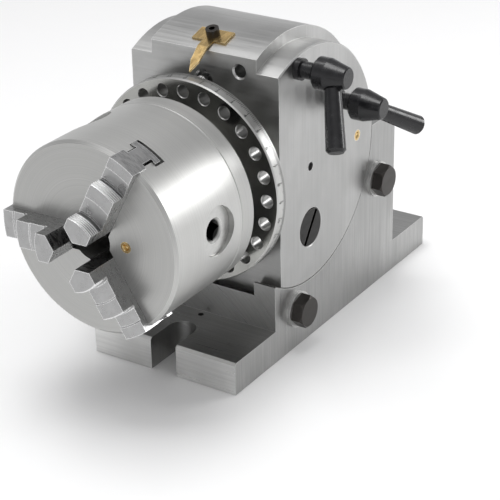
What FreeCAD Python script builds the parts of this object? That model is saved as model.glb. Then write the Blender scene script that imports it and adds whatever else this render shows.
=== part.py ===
import FreeCAD, Part
import math
import os

# Dividing head with a three-jaw scroll chuck.
# Millimetres, +Z up. The origin is on the underside of the base, straight below the point
# where the tilt axis crosses the spindle axis. The chuck looks along -Y, the levers are on
# the +X side and the indexing crank is on the -X side.

Vector = FreeCAD.Vector
X_AXIS = Vector(1, 0, 0)
Y_AXIS = Vector(0, 1, 0)
Z_AXIS = Vector(0, 0, 1)

# General fits
running_fit = 0.05
seat_gap = 0.1
loose_gap = 0.3
over_cut = 1.0

# Base
centre_height = 100.0
base_width = 90.0
foot_thickness = 18.5
front_foot_length = 39.0
rear_foot_length = 39.0
front_wall_y = -36.0
rear_wall_y = 92.0
front_wall_height = 44.5
rear_floor_height = 45.0
foot_chamfer = 1.3
table_slot_width = 16.0
table_slot_reach = 17.0
key_pocket_length = 18.0
key_pocket_depth = 3.0
key_hole_radius = 1.65
key_hole_to_wall = 4.0
drum_relief = 0.6
tail_channel_side_gap = 3.0
tail_channel_floor_gap = 6.0

# Swivel housing: a drum between two round trunnion flanges
flange_thickness = 13.0
drum_crown = 14.2
flange_step = 6.5
face_y = -30.0
rear_flat_y = 58.0
flange_edge_chamfer = 0.6
threaded_hole_radius = 3.4
threaded_hole_x = 21.9
threaded_hole_over_circle = 8.5
threaded_hole_depth = 11.0
centre_hole_radius = 2.4
centre_hole_depth = 9.0
oiler_radius = 3.0
oiler_length = 6.0
housing_oiler_y = 49.1

# Clamp bolts through both cheeks
clamp_circle_clearance = 6.5
front_clamp_angle = 10.9
rear_clamp_angle = 64.5
clamp_bolt_radius = 5.0
clamp_hole_radius = 5.25
clamp_washer_radius = 10.0
clamp_washer_thickness = 2.0
clamp_head_across_flats = 16.0
clamp_head_height = 6.4
clamp_nut_height = 8.0
clamp_bolt_overrun = 1.5

# Spindle
nose_radius = 19.05
nose_length = 19.0
shoulder_radius = 24.0
spindle_flange_inset = 6.0
spindle_flange_thickness = 8.0
front_journal_radius = 26.0
front_bush_outer_radius = 31.0
front_journal_end_y = -9.0
front_bush_length = 14.5
wheel_seat_radius = 17.0
rear_shank_radius = 16.0
rear_journal_radius = 15.0
rear_bush_outer_radius = 20.0
rear_bush_length = 20.0
rear_thread_radius = 14.5
rear_nut_radius = 21.0
rear_nut_thickness = 8.5
rear_nut_pin_hole_radius = 1.75
taper_mouth_radius = 8.9
taper_length = 64.0
spindle_bore_radius = 7.25
thrust_washer_inset = 5.0

# Worm gear set
wheel_teeth = 40
gear_module = 1.25
wheel_face_width = 14.0
wheel_hub_radius = 21.0
worm_pitch_radius = 7.5
worm_length = 24.0
tooth_half_width = 0.80
pressure_angle = 20.0
wheel_chamber_radius = 28.5
wheel_nut_radius = 23.0
wheel_nut_thickness = 6.3
wheel_nut_notch = 5.0
wheel_key_width = 5.0
wheel_key_height = 4.0
wheel_hub_overhang = 1.5
worm_throw = 2.5
worm_journal_radius = 6.5
worm_far_journal_radius = 6.0
sleeve_radius = 15.0
sleeve_bore_radius = 9.2
sleeve_end_x = 23.5
sleeve_end_wall = 5.0
sleeve_window_half_length = 18.5
sleeve_window_lead_angle = 62.0
sleeve_window_trail_angle = 150.0
sleeve_flange_radius = 25.0
sleeve_flange_thickness = 12.7
sleeve_spigot_radius = 12.5
sleeve_lock_x = -26.0
sleeve_lock_radius = 4.0
sleeve_lock_length = 14.0
worm_bush_end_x = -20.0
worm_bush_far_x = -50.0
end_plug_radius = 10.3
end_plug_length = 10.0
end_plug_slot_width = 2.4
end_plug_slot_depth = 2.5
end_plug_slot_angle = 35.0

# Direct index plate on the spindle
index_rim_width = 6.5
index_plate_thickness = 7.5
index_plate_gap = 11.0
index_hole_count = 24
index_hole_circle_radius = 49.0
index_hole_radius = 3.3
index_hole_chamfer = 0.4
index_plate_screw_offset = 0.5
index_plate_screw_radius = 2.5
index_plate_screw_head_radius = 5.0
index_rim_chamfer = 0.7

# Index pin, driven by a small pinion on its lever shaft
index_pin_body_radius = 4.75
index_pin_nose_radius = 3.1
index_pin_nose_length = 6.5
index_pin_proud = 3.0
index_pin_length = 42.0
index_pin_rack_depth = 0.75
index_pin_mouth_chamfer = 0.9
pin_pinion_teeth = 12
pin_pinion_module = 0.8
lever_shaft_radius = 5.7
index_lever_y = -12.0
lock_lever_y = 25.1
lock_lever_clearance = 13.1
lock_cam_radius = 5.1
lock_cam_offset = 0.12
lock_shoe_radius = 4.9
lock_cam_half_length = 5.5
lever_shaft_end_x = -9.0
lever_neck_radius = 4.4
lever_collar_width = 3.2
lever_hub_start_x = 56.3
lever_hub_end_x = 74.2
lever_hub_radius = 8.5
lever_hub_end_radius = 5.6
lever_hub_cone_x = 63.5
handle_root_x = 64.6
handle_lean = 20.5
handle_length = 39.6
handle_root_radius = 4.3
handle_end_radius = 5.2
handle_shank_radius = 3.4
handle_shank_start = 6.15
index_handle_angle = 121.1
lock_handle_angle = 31.4

# Pointer for the graduated rim
pointer_angle = 16.0
pointer_plate_width = 20.0
pointer_plate_length = 10.0
pointer_plate_thickness = 1.2
pointer_flat_depth = 0.2
pointer_blade_width = 6.4
pointer_blade_thickness = 1.0
pointer_tip_overhang = 1.5
pointer_tip_clearance = 2.3
pointer_tip_taper = 5.5
pointer_bend_reach = 5.2
pointer_screw_head_radius = 3.5
pointer_screw_head_height = 4.0
pointer_screw_radius = 2.0
pointer_screw_socket = 3.0
pointer_screw_length = 5.0

# Three-jaw chuck
chuck_radius = 50.0
chuck_body_length = 55.0
chuck_edge_chamfer = 1.6
chuck_bore_radius = 11.0
chuck_hub_radius = 16.3
chuck_cavity_radius = 36.0
backplate_thickness = 11.0
backplate_hub_radius = 31.0
backplate_hub_length = 12.2
register_depth = 3.5
chuck_screw_circle_radius = 42.0
chuck_screw_radius = 4.0
chuck_screw_head_radius = 6.5
chuck_screw_head_height = 8.0
chuck_screw_grip = 14.0
chuck_oiler_radius_at = 20.3
jaw_count = 3
jaw_phase = 28.0
jaw_width = 14.5
jaw_slot_width = 14.6
jaw_neck_width = 9.0
jaw_foot_width = 15.2
jaw_foot_gap = 0.8
jaw_neck_gap = 1.0
ledge_top_depth = 6.5
ledge_bottom_depth = 13.0
slot_floor_depth = 19.9
jaw_tip_radius = 8.0
jaw_top_height = 19.0
jaw_mid_height = 11.2
jaw_low_height = 4.2
jaw_step_in_radius = 19.4
jaw_step_out_radius = 37.0
jaw_end_radius = 51.0
jaw_relief_width = 1.3
jaw_relief_depth = 1.0
jaw_rib_depth = 0.5
jaw_rib_inset = 9.5

# Scroll and bevel drive of the chuck
scroll_pitch = 5.0
scroll_ridge_width = 1.7
scroll_ridge_height = 2.7
scroll_outer_radius = 35.6
scroll_start_radius = 18.0
scroll_turns = 3.3
scroll_hub_radius = 23.0
jaw_tooth_width = 1.4
jaw_tooth_depth = 2.75
scroll_bevel_teeth = 42
pinion_teeth = 12
bevel_inner_radius = 25.0
pinion_stem_radius = 12.6
pinion_bore_radius = 12.75
pinion_axis_depth = 35.0
pinion_outer_face = 46.8
pinion_stem_inner = 36.0
pinion_neck_radius = 8.3
pinion_groove_radius = 10.6
pinion_groove_start = 38.8
pinion_groove_width = 3.4
pinion_square = 8.2
pinion_square_depth = 13.0
pinion_countersink_radius = 6.6
pinion_pin_radius = 1.5
scroll_cover_thickness = 4.0
cover_screw_radius = 1.25
cover_screw_length = 8.0
bevel_gap_share = 1.24
bevel_tooth_share = 0.76
bevel_gap_depth = 1.1

# Dividing plate, sector arms and crank on the -X side
dividing_plate_radius = 53.0
dividing_plate_thickness = 6.0
dividing_circle_radii = (48.0, 44.0, 40.0, 36.0, 32.0, 28.0)
dividing_hole_counts = (20, 19, 18, 17, 16, 15)
dividing_hole_radius = 1.6
dividing_plate_chamfer = 0.8
plate_screw_circle_radius = 19.0
plate_screw_radius = 2.0
plate_screw_head_radius = 4.0
sector_ring_radius = 15.3
sector_blade_thickness = 1.5
sector_blade_reach = 50.0
sector_blade_width = 9.0
sector_arm_angles = (145.0, 205.0)
sector_spring_thickness = 1.2
crank_arm_thickness = 8.0
crank_arm_width = 20.0
crank_gap = 3.0
crank_pin_radius = 48.0
crank_slot_inner = 27.0
crank_neck_radius = 5.0
crank_thread_radius = 5.0
crank_nut_height = 8.0
crank_nut_across_flats = 17.0
crank_key_width = 4.0
plunger_radius = 2.5
plunger_tip_radius = 1.5
plunger_stroke = 7.5
plunger_rest_gap = 4.0
plunger_body_radius = 8.0
plunger_body_length = 7.0
plunger_nut_thickness = 3.6
plunger_nut_across_flats = 14.0
plunger_spring_radius = 3.9
knob_radius = 8.5
knob_length = 11.0

# Places worked out from the sizes above
index_plate_radius = index_hole_circle_radius + index_rim_width
spindle_flange_radius = index_hole_circle_radius - spindle_flange_inset
thrust_washer_radius = spindle_flange_radius - thrust_washer_inset
index_plate_screw_circle_radius = (spindle_flange_radius + shoulder_radius) / 2 + index_plate_screw_offset
index_pin_z = centre_height + index_hole_circle_radius
pin_pinion_radius = pin_pinion_teeth * pin_pinion_module / 2
index_lever_z = index_pin_z + index_pin_body_radius - index_pin_rack_depth + pin_pinion_radius
drum_radius = index_lever_z - centre_height + drum_crown
flange_radius = drum_radius - flange_step
clamp_circle_radius = drum_radius + clamp_circle_clearance
lock_lever_z = centre_height + rear_shank_radius + lock_lever_clearance
threaded_hole_z = index_pin_z + threaded_hole_over_circle
pointer_tip_z = centre_height + index_plate_radius + pointer_tip_clearance
base_half = base_width / 2
cheek_inner = base_half - flange_thickness
drum_half = cheek_inner - running_fit
front_foot_end = front_wall_y - front_foot_length
rear_foot_end = rear_wall_y + rear_foot_length
plate_back_y = face_y - index_plate_gap
plate_front_y = plate_back_y - index_plate_thickness
pointer_tip_y = plate_back_y - pointer_tip_overhang
spindle_flange_back_y = plate_back_y + spindle_flange_thickness
shoulder_y = plate_front_y - 5 * seat_gap
nose_end_y = shoulder_y - nose_length
rear_nut_y = rear_flat_y + 2 * seat_gap
spindle_end_y = rear_nut_y + rear_nut_thickness + 2 * seat_gap
wheel_radius = wheel_teeth * gear_module / 2
worm_lead = math.pi * gear_module
worm_z = centre_height - wheel_radius - worm_pitch_radius
sleeve_z = worm_z - worm_throw
wheel_hub_front_y = front_journal_end_y + seat_gap
front_bush_end_y = face_y + front_bush_length
wheel_hub_back_y = wheel_face_width / 2 + wheel_hub_overhang
wheel_nut_y = wheel_hub_back_y + seat_gap
chamber_end_y = wheel_nut_y + wheel_nut_thickness + over_cut
rear_bush_y = rear_flat_y - rear_bush_length - 2
hub_back_y = shoulder_y - seat_gap
backplate_back_y = hub_back_y - backplate_hub_length
backplate_front_y = backplate_back_y - backplate_thickness
chuck_face_y = backplate_front_y - chuck_body_length
pinion_y = chuck_face_y + pinion_axis_depth
scroll_base_y = chuck_face_y + slot_floor_depth + seat_gap
cavity_front_y = scroll_base_y - scroll_ridge_height - loose_gap
bevel_tangent = pinion_teeth / scroll_bevel_teeth
sleeve_face_x = -base_half - loose_gap
plate_inner_x = sleeve_face_x - sleeve_flange_thickness
plate_outer_x = plate_inner_x - dividing_plate_thickness
spigot_end_x = plate_outer_x - 2 * sector_blade_thickness - sector_spring_thickness - 4 * seat_gap
crank_inner_x = spigot_end_x - crank_gap
crank_outer_x = crank_inner_x - crank_arm_thickness


# Shape helpers
def box(x_from, x_to, y_from, y_to, z_from, z_to):
    corner = Vector(x_from, y_from, z_from)
    return Part.makeBox(x_to - x_from, y_to - y_from, z_to - z_from, corner)


def rod_x(radius, x_from, x_to, y, z):
    return Part.makeCylinder(radius, x_to - x_from, Vector(x_from, y, z), X_AXIS)


def rod_y(radius, y_from, y_to, x=0.0, z=centre_height):
    return Part.makeCylinder(radius, y_to - y_from, Vector(x, y_from, z), Y_AXIS)


def rod_z(radius, z_from, z_to, x, y):
    return Part.makeCylinder(radius, z_to - z_from, Vector(x, y, z_from), Z_AXIS)


def cone_y(radius_from, radius_to, y_from, y_to, x=0.0, z=centre_height):
    return Part.makeCone(radius_from, radius_to, y_to - y_from, Vector(x, y_from, z), Y_AXIS)


def cone_x(radius_from, radius_to, x_from, x_to, y, z):
    return Part.makeCone(radius_from, radius_to, x_to - x_from, Vector(x_from, y, z), X_AXIS)


def face_of(points):
    return Part.Face(Part.makePolygon(list(points) + [points[0]]))


def turned_y(profile):
    """Solid of revolution about the spindle axis from (radius, y) corners."""
    corners = [Vector(radius, y, centre_height) for radius, y in profile]
    return face_of(corners).revolve(Vector(0, 0, centre_height), Y_AXIS, 360)


def turned_x(profile, y, z):
    """Solid of revolution about a line along X from (x, radius) corners."""
    corners = [Vector(x, y + radius, z) for x, radius in profile]
    return face_of(corners).revolve(Vector(0, y, z), X_AXIS, 360)


def about_spindle(shape, degrees):
    turned = shape.copy()
    turned.rotate(Vector(0, 0, centre_height), Y_AXIS, degrees)
    return turned


def about_line_x(shape, degrees, y, z):
    turned = shape.copy()
    turned.rotate(Vector(0, y, z), X_AXIS, degrees)
    return turned


def ring_about_spindle(shape, count, start=0.0):
    return [about_spindle(shape, start + 360.0 * step / count) for step in range(count)]


def ring_about_line_x(shape, count, y, z, start=0.0):
    return [about_line_x(shape, start + 360.0 * step / count, y, z) for step in range(count)]


def hexagon_x(across_flats, x_from, x_to, y, z, turn=0.0):
    corner_radius = across_flats / math.sqrt(3)
    corners = []
    for step in range(6):
        angle = math.radians(60 * step + turn)
        corners.append(Vector(x_from, y + corner_radius * math.cos(angle),
                              z + corner_radius * math.sin(angle)))
    return face_of(corners).extrude(Vector(x_to - x_from, 0, 0))


def hexagon_socket(across_flats, depth, top, direction):
    """Hexagonal hole of a socket screw, from its top centre down along direction."""
    corner_radius = across_flats / math.sqrt(3)
    side = direction.cross(X_AXIS)
    if side.Length < 0.5:
        side = direction.cross(Y_AXIS)
    side.normalize()
    other = direction.cross(side)
    corners = []
    for step in range(6):
        angle = math.radians(60 * step)
        along_side = side * (corner_radius * math.cos(angle))
        corners.append(top + along_side + other * (corner_radius * math.sin(angle)))
    return face_of(corners).extrude(direction * depth)


def joined(shapes):
    first = shapes[0]
    if len(shapes) == 1:
        return first
    return first.fuse(shapes[1:]).removeSplitter()


def cut_all(shape, tools):
    return shape.cut(Part.makeCompound(tools))


def tooth_outline(teeth, pitch_radius, half_width, addendum, dedendum):
    """Corner points (angle, radius) of a straight-flanked gear, starting on a tooth at angle zero."""
    slope = math.tan(math.radians(pressure_angle))
    tip_half = (half_width - addendum * slope) / (pitch_radius + addendum)
    root_half = (half_width + dedendum * slope) / (pitch_radius - dedendum)
    tip = pitch_radius + addendum
    root = pitch_radius - dedendum
    corners = []
    for tooth in range(teeth):
        middle = 2 * math.pi * tooth / teeth
        corners += [(middle - root_half, root), (middle - tip_half, tip),
                    (middle + tip_half, tip), (middle + root_half, root)]
    return corners


def clamp_places():
    """(y, z) of the front and the rear clamp bolt."""
    places = []
    for angle, side in ((front_clamp_angle, -1), (rear_clamp_angle, 1)):
        turn = math.radians(angle)
        places.append((side * clamp_circle_radius * math.sin(turn),
                       centre_height - clamp_circle_radius * math.cos(turn)))
    return places


# Base
def make_foot(y_wall, y_end):
    y_from, y_to = min(y_wall, y_end), max(y_wall, y_end)
    foot = box(-base_half, base_half, y_from, y_to, 0, foot_thickness)
    top_edge = Vector(0, y_end, foot_thickness)
    edges = [edge for edge in foot.Edges if (edge.CenterOfMass - top_edge).Length < 0.01]
    return foot.makeChamfer(foot_chamfer, edges)


def table_slot_cuts(y_wall, outward):
    """Open slot for the table bolt, pocket for the alignment key and the key's tapped hole."""
    half = table_slot_width / 2
    foot = front_foot_length if outward < 0 else rear_foot_length
    open_end = y_wall + outward * (foot + over_cut)
    round_y = y_wall + outward * (foot - table_slot_reach)
    pocket_y = round_y - outward * key_pocket_length
    hole_y = y_wall + outward * key_hole_to_wall
    slot = box(-half, half, min(open_end, round_y), max(open_end, round_y), -over_cut,
               foot_thickness + over_cut)
    slot_end = rod_z(half, -over_cut, foot_thickness + over_cut, 0, round_y)
    pocket = box(-half, half, min(round_y, pocket_y), max(round_y, pocket_y), -over_cut, key_pocket_depth)
    hole = rod_z(key_hole_radius, 0, foot_thickness + over_cut, 0, hole_y)
    return [joined([slot, slot_end, pocket, hole])]


def tail_channel():
    """Channel in the floor for the spindle's tail, which swings down through it as the head tilts up."""
    half = rear_nut_radius + tail_channel_side_gap
    floor = centre_height - math.hypot(spindle_end_y, rear_nut_radius) - tail_channel_floor_gap
    return box(-half, half, -half, rear_wall_y + over_cut, floor, centre_height)


def make_base():
    saddle = box(-base_half, base_half, front_wall_y, rear_wall_y, 0, centre_height)
    body = joined([saddle, make_foot(front_wall_y, front_foot_end),
                   make_foot(rear_wall_y, rear_foot_end)])
    cuts = [box(-base_half - over_cut, base_half + over_cut, front_wall_y - over_cut, 0,
                front_wall_height, centre_height + over_cut),
            rod_x(flange_radius + running_fit, -base_half - over_cut, base_half + over_cut, 0,
                  centre_height),
            rod_x(drum_radius + drum_relief, -cheek_inner, cheek_inner, 0, centre_height),
            box(-cheek_inner, cheek_inner, 0, rear_wall_y + over_cut, rear_floor_height,
                centre_height + over_cut)]
    for y, z in clamp_places():
        cuts.append(rod_x(clamp_hole_radius, -base_half - over_cut, base_half + over_cut, y, z))
    cuts.append(tail_channel())
    for tool in cuts + table_slot_cuts(front_wall_y, -1) + table_slot_cuts(rear_wall_y, 1):
        body = body.cut(tool)
    return body.removeSplitter()


def make_clamp_bolts():
    bolts = []
    washer_face = base_half + clamp_washer_thickness
    far_end = -washer_face - clamp_nut_height - clamp_bolt_overrun
    for y, z in clamp_places():
        head = hexagon_x(clamp_head_across_flats, washer_face, washer_face + clamp_head_height, y, z, 15)
        corner = clamp_head_across_flats / math.sqrt(3)
        dome = cone_x(corner + 0.5 * clamp_head_height * 1.8, corner - 1.2, washer_face - over_cut,
                      washer_face + clamp_head_height, y, z)
        shank = rod_x(clamp_bolt_radius, far_end, washer_face + over_cut, y, z)
        bolts.append(joined([head.common(dome), shank]))
    return Part.makeCompound(bolts)


def make_clamp_washers():
    washers = []
    for y, z in clamp_places():
        for x in (base_half, -base_half - clamp_washer_thickness):
            disc = rod_x(clamp_washer_radius, x, x + clamp_washer_thickness, y, z)
            washers.append(disc.cut(rod_x(clamp_hole_radius, x - over_cut,
                                          x + clamp_washer_thickness + over_cut, y, z)))
    return Part.makeCompound(washers)


def make_clamp_nuts():
    nuts = []
    outer = -base_half - clamp_washer_thickness - clamp_nut_height
    for y, z in clamp_places():
        nut = hexagon_x(clamp_head_across_flats, outer, outer + clamp_nut_height, y, z, 10)
        nuts.append(nut.cut(rod_x(clamp_bolt_radius + running_fit, outer - over_cut,
                                  outer + clamp_nut_height + over_cut, y, z)))
    return Part.makeCompound(nuts)


# Swivel housing
def pointer_frame(radial, along):
    """Point on the tilted seat of the pointer: radial distance from the tilt axis, then along the seat."""
    turn = math.radians(pointer_angle)
    y = -radial * math.sin(turn) + along * math.cos(turn)
    z = centre_height + radial * math.cos(turn) + along * math.sin(turn)
    return Vector(0, y, z)


def pointer_block(width, length, radial_from, radial_to):
    """Block on the pointer's seat, centred on it."""
    block = box(-width / 2, width / 2, -length / 2, length / 2, radial_from, radial_to)
    block.rotate(Vector(0, 0, 0), X_AXIS, pointer_angle)
    block.translate(Vector(0, 0, centre_height))
    return block


def make_swivel_housing():
    drum = rod_x(drum_radius, -drum_half, drum_half, 0, centre_height)
    drum = drum.cut(box(-base_half, base_half, rear_flat_y, drum_radius + over_cut, 0, 2 * centre_height))
    flange_profile = [(-base_half, 0), (-base_half, flange_radius - flange_edge_chamfer),
                      (-base_half + flange_edge_chamfer, flange_radius),
                      (base_half - flange_edge_chamfer, flange_radius),
                      (base_half, flange_radius - flange_edge_chamfer), (base_half, 0)]
    body = joined([turned_x(flange_profile, 0, centre_height), drum])
    body = body.cut(box(-base_half - over_cut, base_half + over_cut, -2 * drum_radius, face_y, 0,
                        2 * centre_height))
    shoe_top = lock_lever_z
    seat = drum_radius - pointer_flat_depth
    screw_top = pointer_frame(seat + over_cut, 0)
    screw_axis = pointer_frame(seat, 0) - pointer_frame(drum_radius, 0)
    screw_axis.normalize()
    cuts = [
        rod_y(front_bush_outer_radius, face_y - over_cut, front_bush_end_y + seat_gap),
        rod_y(wheel_chamber_radius, front_bush_end_y, chamber_end_y),
        box(-cheek_inner, cheek_inner, rear_flat_y, 2 * drum_radius, 0, 2 * centre_height),
        rod_y(rear_bush_outer_radius, chamber_end_y - over_cut, rear_flat_y + over_cut),
        rod_x(sleeve_radius + running_fit, -base_half - over_cut, sleeve_end_x + loose_gap, 0, sleeve_z),
        rod_x(end_plug_radius, sleeve_end_x - over_cut, base_half + over_cut, 0, sleeve_z),
        cone_x(end_plug_radius, end_plug_radius + 0.7, base_half - 0.7, base_half + 0.001, 0, sleeve_z),
        rod_y(index_pin_body_radius + running_fit, face_y - over_cut,
              face_y - index_pin_proud + index_pin_length + 1.5, 0, index_pin_z),
        cone_y(index_pin_body_radius + running_fit + index_pin_mouth_chamfer, index_pin_body_radius,
               face_y - 0.001, face_y + index_pin_mouth_chamfer, 0, index_pin_z),
        rod_x(lever_shaft_radius + running_fit, lever_shaft_end_x - loose_gap, base_half + over_cut,
              index_lever_y, index_lever_z),
        rod_x(lever_shaft_radius + running_fit, lever_shaft_end_x - loose_gap, base_half + over_cut,
              lock_lever_y, lock_lever_z),
        rod_z(lock_shoe_radius + running_fit, centre_height, shoe_top, 0, lock_lever_y),
        rod_x(centre_hole_radius, base_half - centre_hole_depth, base_half + over_cut, 0, centre_height),
        rod_x(oiler_radius, base_half - oiler_length, base_half + over_cut, housing_oiler_y,
              centre_height),
        rod_y(threaded_hole_radius, face_y - over_cut, face_y + threaded_hole_depth,
              threaded_hole_x, threaded_hole_z),
        cone_y(threaded_hole_radius + 0.8, threaded_hole_radius, face_y - 0.001, face_y + 0.8,
               threaded_hole_x, threaded_hole_z),
        rod_y(sleeve_lock_radius, 0, rear_flat_y + over_cut, sleeve_lock_x, sleeve_z),
        pointer_block(pointer_plate_width + 2 * over_cut, 3 * pointer_plate_length, seat,
                      drum_radius + 5),
        Part.makeCylinder(pointer_screw_radius, pointer_screw_length + over_cut + loose_gap, screw_top,
                          screw_axis),
    ]
    for tool in cuts:
        body = body.cut(tool)
    return body.removeSplitter()


def make_front_bush():
    return turned_y([(front_journal_radius + running_fit, face_y + seat_gap),
                     (front_bush_outer_radius, face_y + seat_gap),
                     (front_bush_outer_radius, front_bush_end_y),
                     (front_journal_radius + running_fit, front_bush_end_y)])


def make_thrust_washer():
    return turned_y([(front_journal_radius + loose_gap, spindle_flange_back_y + running_fit),
                     (thrust_washer_radius, spindle_flange_back_y + running_fit),
                     (thrust_washer_radius, face_y), (front_journal_radius + loose_gap, face_y)])


def make_rear_bush():
    return turned_y([(rear_journal_radius + running_fit, rear_bush_y),
                     (rear_bush_outer_radius, rear_bush_y),
                     (rear_bush_outer_radius, rear_flat_y),
                     (rear_journal_radius + running_fit, rear_flat_y)])


def make_end_plug():
    start = base_half - end_plug_length
    plug = rod_x(end_plug_radius, start, base_half, 0, sleeve_z)
    reach = end_plug_radius + over_cut
    slot = box(base_half - end_plug_slot_depth, base_half + over_cut, -end_plug_slot_width / 2,
               end_plug_slot_width / 2, sleeve_z - reach, sleeve_z + reach)
    return plug.cut(about_line_x(slot, -end_plug_slot_angle, 0, sleeve_z))


def make_sleeve_lock_screw():
    start = sleeve_radius + running_fit
    screw = rod_y(sleeve_lock_radius, start, start + sleeve_lock_length, sleeve_lock_x, sleeve_z)
    top = Vector(sleeve_lock_x, start + sleeve_lock_length, sleeve_z)
    contour = rod_x(sleeve_radius + running_fit, -base_half, 0, 0, sleeve_z)
    return screw.cut(hexagon_socket(4.0, 5.0, top, Vector(0, -1, 0))).cut(contour)


def make_centre_screw():
    top = base_half - 2.0
    screw = rod_x(centre_hole_radius, base_half - centre_hole_depth + loose_gap, top, 0, centre_height)
    return screw.cut(hexagon_socket(2.4, 2.5, Vector(top, 0, centre_height), Vector(-1, 0, 0)))


def make_oiler(top, axis):
    """Ball oiler pressed in flush: a brass cup with a dished mouth and its ball."""
    inward = axis * -1
    cup = Part.makeCylinder(oiler_radius, oiler_length, top, inward)
    mouth = Part.makeCone(1.9, 1.2, 1.2, top, inward)
    ball = Part.makeSphere(1.25, top + inward * 1.5)
    return cup.cut(mouth).fuse(ball).removeSplitter()


def make_pointer():
    seat = drum_radius - pointer_flat_depth
    top = seat + pointer_plate_thickness
    plate = pointer_block(pointer_plate_width, pointer_plate_length, seat, top)
    root = pointer_frame(top, 0)
    edge = pointer_frame(top, -pointer_plate_length / 2)
    bend = pointer_frame(top, -pointer_plate_length / 2 - pointer_bend_reach)
    tip = Vector(0, pointer_tip_y, pointer_tip_z)
    slope = tip - bend
    slope.normalize()
    lower = Vector(0, slope.z, -slope.y) * pointer_blade_thickness
    if lower.z > 0:
        lower = lower * -1
    under = pointer_frame(top - pointer_blade_thickness, 0)
    under_bend = pointer_frame(top - pointer_blade_thickness,
                               -pointer_plate_length / 2 - pointer_bend_reach + loose_gap)
    side = face_of([root, edge, bend, tip, tip + lower, under_bend, under])
    half = pointer_blade_width / 2
    strip = side.extrude(Vector(pointer_blade_width, 0, 0))
    strip.translate(Vector(-half, 0, 0))
    outline = face_of([Vector(-half, 0, 0), Vector(-half, edge.y, 0),
                       Vector(-half * 0.8, pointer_tip_y + pointer_tip_taper, 0),
                       Vector(0, pointer_tip_y, 0),
                       Vector(half * 0.8, pointer_tip_y + pointer_tip_taper, 0),
                       Vector(half, edge.y, 0),
                       Vector(half, 0, 0)]).extrude(Vector(0, 0, 2 * centre_height))
    hole_axis = pointer_frame(seat, 0) - pointer_frame(top, 0)
    hole_axis.normalize()
    hole = Part.makeCylinder(pointer_screw_radius + seat_gap, 4 * over_cut,
                             pointer_frame(top + over_cut, 0), hole_axis)
    return joined([plate, strip.common(outline)]).cut(hole)


def make_pointer_screw():
    top = drum_radius - pointer_flat_depth + pointer_plate_thickness
    inward = pointer_frame(top - 1, 0) - pointer_frame(top, 0)
    head_top = pointer_frame(top + pointer_screw_head_height, 0)
    head = Part.makeCylinder(pointer_screw_head_radius, pointer_screw_head_height, head_top, inward)
    shank_length = pointer_screw_length + pointer_plate_thickness
    shank = Part.makeCylinder(pointer_screw_radius, shank_length, pointer_frame(top, 0), inward)
    socket = hexagon_socket(pointer_screw_socket, pointer_screw_head_height / 2, head_top, inward)
    return joined([head, shank]).cut(socket)


# Index pin and levers
def make_index_pin():
    tip_y = face_y - index_pin_proud
    body_y = tip_y + index_pin_nose_length
    nose = rod_y(index_pin_nose_radius, tip_y + 0.8, body_y + over_cut, 0, index_pin_z)
    point = cone_y(index_pin_nose_radius - 0.6, index_pin_nose_radius, tip_y, tip_y + 0.8, 0, index_pin_z)
    body = rod_y(index_pin_body_radius, body_y, tip_y + index_pin_length, 0, index_pin_z)
    pin = joined([point, nose, body])
    pitch = math.pi * pin_pinion_module
    pitch_z = index_lever_z - pin_pinion_radius
    slope = math.tan(math.radians(pressure_angle))
    half = pitch / 4 + 0.12
    gaps = []
    steps = int((index_pin_length - index_pin_nose_length) / pitch)
    for step in range(steps):
        y = index_lever_y + pitch * (step - 4)
        low, high = pitch_z - 1.15 * pin_pinion_module, pitch_z + 1.4 * pin_pinion_module
        if y < body_y + pitch or y > tip_y + index_pin_length - pitch:
            continue
        low_half = half - (pitch_z - low) * slope
        high_half = half + (high - pitch_z) * slope
        gaps.append(face_of([Vector(-index_pin_body_radius, y - low_half, low),
                             Vector(-index_pin_body_radius, y + low_half, low),
                             Vector(-index_pin_body_radius, y + high_half, high),
                             Vector(-index_pin_body_radius, y - high_half, high)]
                            ).extrude(Vector(2 * index_pin_body_radius, 0, 0)))
    return cut_all(pin, gaps)


def lever_shaft_profile(inner_x):
    """Shaft from inside the housing out to the lever hub, with its collar against the flange face."""
    return [(inner_x, 0), (inner_x, lever_shaft_radius),
            (base_half + lever_collar_width, lever_shaft_radius),
            (base_half + lever_collar_width, lever_neck_radius),
            (lever_hub_end_x - 3.0, lever_neck_radius),
            (lever_hub_end_x - 3.0, 0)]


def make_index_shaft():
    toothed_to = -lever_shaft_end_x
    shaft = turned_x(lever_shaft_profile(toothed_to), index_lever_y, index_lever_z)
    outline = tooth_outline(pin_pinion_teeth, pin_pinion_radius, math.pi * pin_pinion_module / 4 - 0.12,
                            0.8 * pin_pinion_module, 1.15 * pin_pinion_module)
    corners = [Vector(lever_shaft_end_x, index_lever_y + radius * math.sin(angle),
                      index_lever_z - radius * math.cos(angle))
               for angle, radius in outline]
    pinion = face_of(corners).extrude(Vector(toothed_to - lever_shaft_end_x + over_cut, 0, 0))
    return joined([shaft, pinion])


def make_lock_shaft():
    cam_half = lock_cam_half_length
    near = turned_x(lever_shaft_profile(cam_half), lock_lever_y, lock_lever_z)
    far = rod_x(lever_shaft_radius, lever_shaft_end_x, -cam_half, lock_lever_y, lock_lever_z)
    cam = rod_x(lock_cam_radius, -cam_half, cam_half, lock_lever_y - lock_cam_offset, lock_lever_z)
    return joined([near, cam, far])


def make_lock_shoe():
    top = lock_lever_z - lock_cam_radius - lock_cam_offset - 0.02
    shoe = rod_z(lock_shoe_radius, centre_height + rear_shank_radius - 4, top, 0, lock_lever_y)
    return shoe.cut(rod_y(rear_shank_radius + 0.03, 0, rear_flat_y))


def handle_direction(angle):
    lean = math.radians(handle_lean)
    turn = math.radians(angle)
    return Vector(math.sin(lean), math.cos(lean) * math.cos(turn), -math.cos(lean) * math.sin(turn))


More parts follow.
